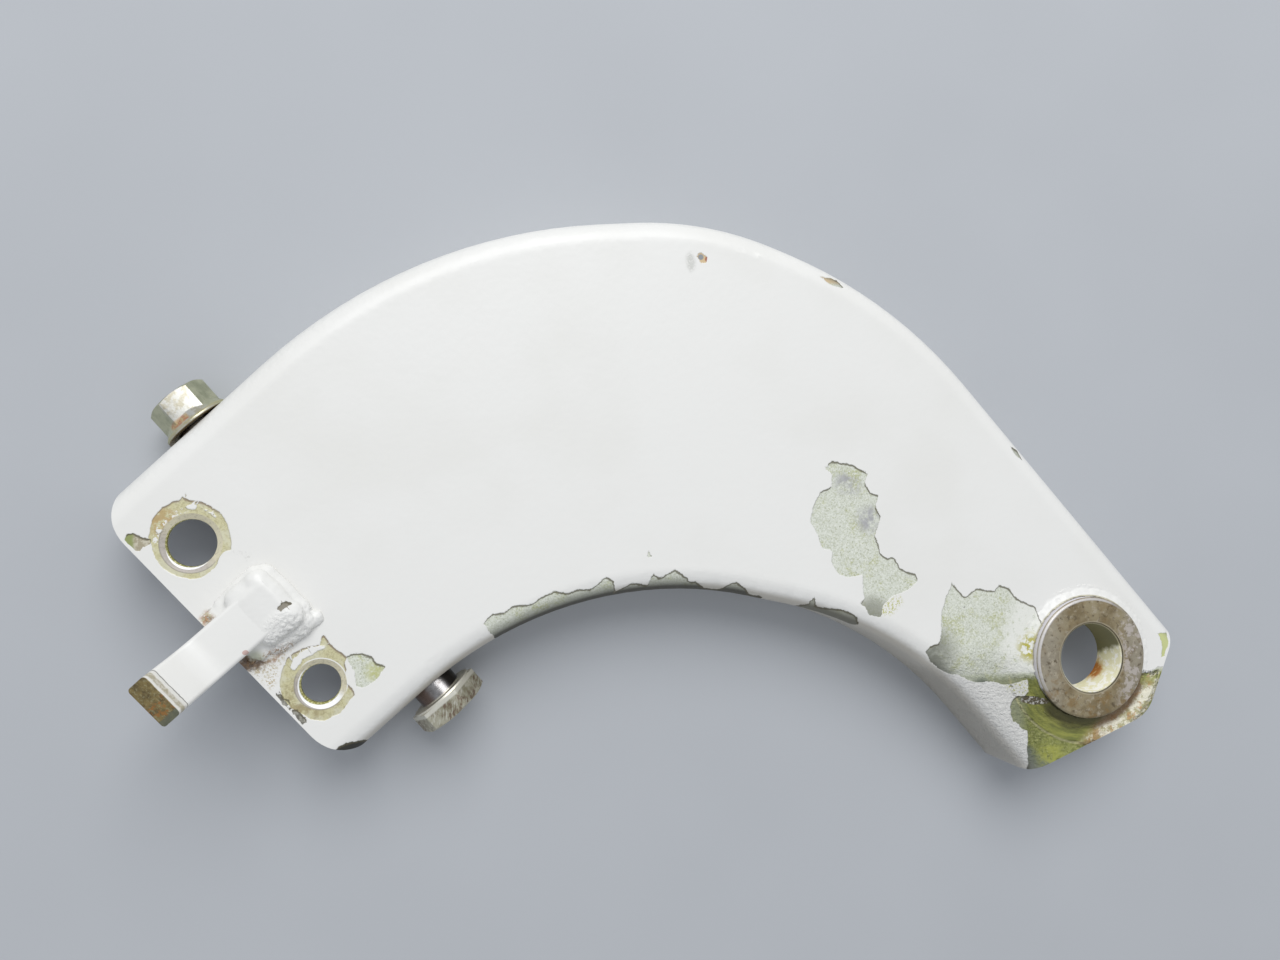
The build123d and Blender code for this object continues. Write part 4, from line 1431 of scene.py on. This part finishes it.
@dataclass
class ArmSheet:
    """The folded channel, cut finely enough on its face to carry the patches' outlines.

    Args:
        wear: Distances that the mesh carries.
        grid: Spacing of the cuts over the whole face.
        fine: Boxes of low and high corners in which the cuts are halved.
        outward: Rise of the normal above which a face is cut.
        level: Rise of the normal above which a face is cut again.
    """

    wear: WearMap
    grid: float = 1.2
    fine: tuple[tuple[Place, Place], ...] = (
        ((-213.0, -15.0), (-160.0, 41.0)), ((-72.0, -28.0), (26.0, 48.0)),
    )
    outward: float = 0.02
    level: float = 0.98

    def build(self) -> bpy.types.Object:
        """Copies the channel and cuts its outer face into a fine grid."""
        piece = copy_of("arm_channel", "arm_channel_painted")
        low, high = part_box("arm_channel")
        with edited(piece) as mesh:
            for axis in (0, 1):
                start, end = low[axis] / MM, high[axis] / MM
                for place in np.arange(start + self.grid, end, self.grid):
                    self.cut(mesh, axis, place)
            self.refine(mesh)
        return piece

    def cut(self, mesh: bmesh.types.BMesh, axis: int, place: float) -> None:
        """Cuts the faces that look outwards along one line of the grid.

        Args:
            mesh: The channel's mesh.
            axis: Axis that the line crosses.
            place: Where it crosses, in millimetres.
        """
        at, direction = Vector((0.0, 0.0, 0.0)), Vector((0.0, 0.0, 0.0))
        at[axis] = place * MM
        direction[axis] = 1.0
        faces = []
        for face in mesh.faces:
            if face.normal.z > self.outward:
                places = [vertex.co[axis] for vertex in face.verts]
                if min(places) < at[axis] < max(places):
                    faces.append(face)
        edges = {edge for face in faces for edge in face.edges}
        corners = {vertex for face in faces for vertex in face.verts}
        bmesh.ops.bisect_plane(
            mesh, geom=[*corners, *edges, *faces], dist=CUT_SLACK, plane_co=at, plane_no=direction
        )

    def refine(self, mesh: bmesh.types.BMesh) -> None:
        """Halves the grid where the wear is fine.

        Args:
            mesh: The channel's mesh.
        """
        edges = set()
        for face in mesh.faces:
            if face.normal.z > self.level:
                x, y = face.calc_center_median().to_2d() / MM
                if any(a[0] < x < b[0] and a[1] < y < b[1] for a, b in self.fine):
                    edges.update(face.edges)
        long_enough = [edge for edge in edges if edge.calc_length() > 0.5 * self.grid * MM]
        bmesh.ops.subdivide_edges(mesh, edges=long_enough, cuts=1, use_grid_fill=True)

    def dress(self, piece: bpy.types.Object, material: bpy.types.Material) -> None:
        """Stores the wear and gives the piece its paint."""
        self.wear.store(piece)
        smooth(piece, Shade.ROLLED)
        dress(piece, material)


@dataclass
class WeldBead:
    """A weld bead with the lumps and ripples of hand welding.

    Args:
        node: The plain bead.
        wear: Distances that the mesh carries.
        voxel: Size of the cells that melt it into one skin.
        ripple: Height of the ripples.
        ripple_size: Their width.
        rounds: Rounds of smoothing before the ripples.
        softening: Share of each round.
        middle: Level of the ripple pattern that stays in place.
    """

    node: str
    wear: WearMap
    voxel: float = 0.3
    ripple: float = 0.35
    ripple_size: float = 2.2
    rounds: int = 2
    softening: float = 0.6
    middle: float = 0.55

    def build(self) -> bpy.types.Object:
        """Copies the plain bead, melts it into one skin and roughens it."""
        piece = copy_of(self.node, f"{self.node}_rippled")
        self.add_metal(piece)
        apply(piece, "REMESH", mode="VOXEL", voxel_size=self.voxel * MM)
        apply(piece, "SMOOTH", factor=self.softening, iterations=self.rounds)
        texture = bpy.data.textures.new(f"{self.node} ripple", "CLOUDS")
        texture.noise_scale = self.ripple_size * MM
        apply(
            piece, "DISPLACE", texture=texture, strength=self.ripple * MM,
            mid_level=self.middle, texture_coords="LOCAL", vertex_group=self.rippled(piece),
        )
        self.settle(piece)
        return piece

    def add_metal(self, piece: bpy.types.Object) -> None:
        """Joins more weld metal to the bead, of which a plain bead has none."""

    def rippled(self, piece: bpy.types.Object) -> str:
        """Returns the name of the part that ripples, empty for the whole of a plain bead."""
        return ""

    def settle(self, piece: bpy.types.Object) -> None:
        """Lets the skin sink into its neighbours, which a plain bead doesn't need."""

    def dress(self, piece: bpy.types.Object, material: bpy.types.Material) -> None:
        """Stores the wear and gives the bead the arm's paint."""
        self.wear.store(piece)
        smooth(piece, Shade.CAST)
        dress(piece, material)


@dataclass
class StrapBead(WeldBead):
    """The weld round the strap's seat, which runs up over the seat's edges.

    Args:
        rows: Rows of weld drops round the seat.
        flatness: Height of a drop as a share of its width.
        skin: Thickness of paint and weld over the strap's seat.
        sink: Depth to which the skin dives into the strap near the heel's edge.
        fade: Distances inwards from the heel's edge between which the skin comes up.
        crinkled_side: Distances to the side between which the ripples grow to full.
        crinkled_inward: Distances inwards between which they grow to full.
        calm: Share of the ripples on the rest.
    """

    rows: tuple[WeldRow, ...] = ()
    flatness: float = 0.75
    skin: float = 0.2
    sink: float = -0.4
    fade: tuple[float, float] = (4.0, 12.0)
    crinkled_side: tuple[float, float] = (4.0, 6.0)
    crinkled_inward: tuple[float, float] = (6.0, 8.0)
    calm: float = 0.1

    def add_metal(self, piece: bpy.types.Object) -> None:
        """Joins the strap's seat and the drops to the bead."""
        outwards, sideways = strap_ways()
        at = Vector((*STRAP_EDGE, 0.0)) * MM - outwards * self.fade[0] * 0.5 * MM
        seat = merged("stop_strap", "seat")
        with edited(seat) as mesh:
            cut = bmesh.ops.bisect_plane(
                mesh, geom=[*mesh.verts, *mesh.edges, *mesh.faces], dist=CUT_SLACK,
                plane_co=at, plane_no=outwards, clear_outer=True,
            )
            rim = [part for part in cut["geom_cut"] if isinstance(part, bmesh.types.BMEdge)]
            bmesh.ops.edgeloop_fill(mesh, edges=rim)
        self.join(piece, seat)
        for row in self.rows:
            for inward, side, height, radius in row.drops():
                centre = Vector((*STRAP_EDGE, height)) - outwards * inward + sideways * side
                self.join(piece, self.drop(centre, radius))

    def drop(self, centre: Vector, radius: float) -> bpy.types.Object:
        """Makes one flattened drop of weld metal.

        Args:
            centre: Its middle in millimetres.
            radius: Its radius in millimetres.

        Returns:
            The drop.
        """
        bpy.ops.object.select_all(action="DESELECT")
        place = [c * MM for c in centre]
        bpy.ops.mesh.primitive_ico_sphere_add(subdivisions=3, radius=radius * MM, location=place)
        made = bpy.context.object
        bpy.ops.object.mode_set(mode="EDIT")
        bpy.ops.mesh.select_all(action="SELECT")
        bpy.ops.transform.resize(value=(1.0, 1.0, self.flatness), center_override=place)
        bpy.ops.object.mode_set(mode="OBJECT")
        bpy.ops.object.transform_apply(location=True, rotation=True, scale=True)
        return made

    def join(self, piece: bpy.types.Object, more: bpy.types.Object) -> None:
        """Joins one mesh to the bead.

        Args:
            piece: The bead.
            more: What is joined to it.
        """
        select_only(piece)
        more.select_set(True)
        bpy.ops.object.join()

    def on_strap(self, piece: bpy.types.Object) -> list[tuple[float, float]]:
        """Returns each corner's way inwards from the heel's edge and way to the side.

        Args:
            piece: The bead.

        Returns:
            Both in millimetres, for each corner.
        """
        outwards, sideways = strap_ways()
        edge = Vector((*STRAP_EDGE, 0.0)) * MM
        offsets = [vertex.co - edge for vertex in piece.data.vertices]
        return [(-way.dot(outwards) / MM, way.dot(sideways) / MM) for way in offsets]

    def rippled(self, piece: bpy.types.Object) -> str:
        """Lets the weld beside the lower hole ripple and keeps the rest nearly smooth."""
        group = piece.vertex_groups.new(name="ripple")
        for index, (inward, side) in enumerate(self.on_strap(piece)):
            share = ramp(side, *self.crinkled_side, self.calm)
            share *= ramp(inward, *self.crinkled_inward, self.calm)
            group.add([index], share, "REPLACE")
        return group.name

    def settle(self, piece: bpy.types.Object) -> None:
        """Lifts the skin off the seat inwards and sinks it towards the heel's edge."""
        moves = []
        for vertex, (inward, _) in zip(piece.data.vertices, self.on_strap(piece)):
            share = ramp(inward, *self.fade)
            share = share * share * (3.0 - 2.0 * share)
            moves.append(vertex.normal * (self.sink + (self.skin - self.sink) * share) * MM)
        for vertex, move in zip(piece.data.vertices, moves):
            if vertex.co.z > 0.0:
                vertex.co += move


@dataclass
class TurnedPiece:
    """A machined or rolled piece whose sharp edges are broken.

    Args:
        node: The plain piece.
        slot: The record's material slot; not used.
        edge: Width of the broken edge.
        segments: Facets of the broken edge.
    """

    node: str
    slot: str
    edge: float = 0.2
    segments: int = 2

    def build(self) -> bpy.types.Object:
        """Copies the node and breaks its edges."""
        piece = copy_of(self.node, f"{self.node}_finished")
        apply(
            piece, "BEVEL", width=self.edge * MM, segments=self.segments, limit_method="ANGLE",
            angle_limit=math.radians(Shade.MACHINED.value),
        )
        return piece

    def dress(self, piece: bpy.types.Object, material: bpy.types.Material) -> None:
        """Gives the piece its finish."""
        smooth(piece, Shade.MACHINED)
        dress(piece, material)


@dataclass(frozen=True)
class Studio:
    """Pale floor, soft light and the camera.

    Args:
        floor_level: Height of the floor in metres.
        eye: The camera's place in millimetres.
        right: Way to the right of the picture.
        up: Way to the top of the picture.
        lens: Focal length for a sensor as wide as a full frame.
        middle: Place that the lamp faces, in millimetres.
        lamp_place: The lamp's place in metres.
        lamp_size: Its width in metres.
        lamp_power: Its power in watts.
        sky: Colour of the sky.
        sky_strength: Its strength.
        floor_size: Width of the floor in metres.
    """

    floor_level: float
    eye: Triple = (-155.2, 37.0, 220.0)
    right: Triple = (0.97816, 0.0, 0.20787)
    up: Triple = (-0.0042, 0.9998, 0.0198)
    lens: float = 29.11
    middle: Triple = (-95.0, 35.0, 0.0)
    lamp_place: Triple = (-0.15, 0.75, 0.85)
    lamp_size: float = 0.9
    lamp_power: float = 8.7
    sky: str = "#E6EAF0"
    sky_strength: float = 0.62
    floor_size: float = 6.0

    def light(self) -> None:
        """Adds one large soft lamp from the far side and an even sky."""
        lamp = bpy.data.lights.new("Window", "AREA")
        lamp.shape = "DISK"
        lamp.size = self.lamp_size
        lamp.energy = self.lamp_power
        holder = linked("Window", lamp)
        place, target = Vector(self.lamp_place), Vector(self.middle) * MM
        holder.location = place
        holder.rotation_mode = "QUATERNION"
        holder.rotation_quaternion = (target - place).to_track_quat("-Z", "Y")
        world = bpy.data.worlds.new("Sky")
        bpy.context.scene.world = world
        world.use_nodes = True
        background = world.node_tree.nodes["Background"]
        background.inputs["Color"].default_value = srgb(self.sky)
        background.inputs["Strength"].default_value = self.sky_strength

    def floor(self) -> None:
        """Adds the floor that the part lies on."""
        bpy.ops.object.select_all(action="DESELECT")
        place = (0.0, 0.0, self.floor_level)
        bpy.ops.mesh.primitive_plane_add(size=self.floor_size, location=place)
        floor = bpy.context.object
        floor.name = "Floor"
        # Matt card: no gloss, hardly clouded
        g = Graph("Pale matt floor")
        tone = g.mix(g.noise(60.0, 2, 0.5), "#B4B7BB", "#BCBFC3")
        floor.data.materials.append(g.finish(tone, 0.8, 0.0, None, 0.2))
        floor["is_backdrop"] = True

    def camera(self) -> None:
        """Adds the camera at the viewing angle."""
        data = bpy.data.cameras.new("Camera")
        data.lens = self.lens
        data.sensor_width = 36.0
        data.clip_start = 0.005
        data.clip_end = 20.0
        holder = linked("Camera", data)
        right = Vector(self.right).normalized()
        back = right.cross(Vector(self.up)).normalized()
        turn = Matrix((right, back.cross(right), back)).transposed().to_4x4()
        holder.matrix_world = Matrix.Translation(Vector(self.eye) * MM) @ turn
        bpy.context.scene.camera = holder


def main() -> None:
    """Builds the looks round the frame."""
    logging.basicConfig(level=logging.INFO, format="%(message)s")
    first_low, first_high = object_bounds()
    paint, steel = PaintFinish(), SteelFinish()
    chipped, wear = paint.chipped(), WearMap(PATCHES)

    sheet = ArmSheet(wear)
    sheet.dress(sheet.build(), chipped)
    beads = (
        WeldBead("bushing_front_bead", wear, ripple=0.5, ripple_size=1.8),
        WeldBead("bushing_rear_bead", wear),
        StrapBead(
            "stop_strap_bead", wear, ripple=0.75, ripple_size=0.7, rounds=10, rows=STRAP_WELD
        ),
    )
    for bead in beads:
        bead.dress(bead.build(), chipped)
    turned = (
        (TurnedPiece("stop_strap", "painted_arm", 1.0, 4), paint.strap()),
        (TurnedPiece("damper_bushing", "bushing_steel", 0.1), steel.bushing()),
        (TurnedPiece("cross_bolt", "plated_bolt"), steel.bolt()),
        (TurnedPiece("lock_nut", "plated_nut"), steel.nut()),
    )
    for piece, material in turned:
        piece.dress(piece.build(), material)

    studio = Studio(floor_level=first_low.z)
    studio.light()
    studio.floor()
    studio.camera()
    bpy.context.scene.view_settings.view_transform = "Standard"


if __name__ == "__main__":
    main()
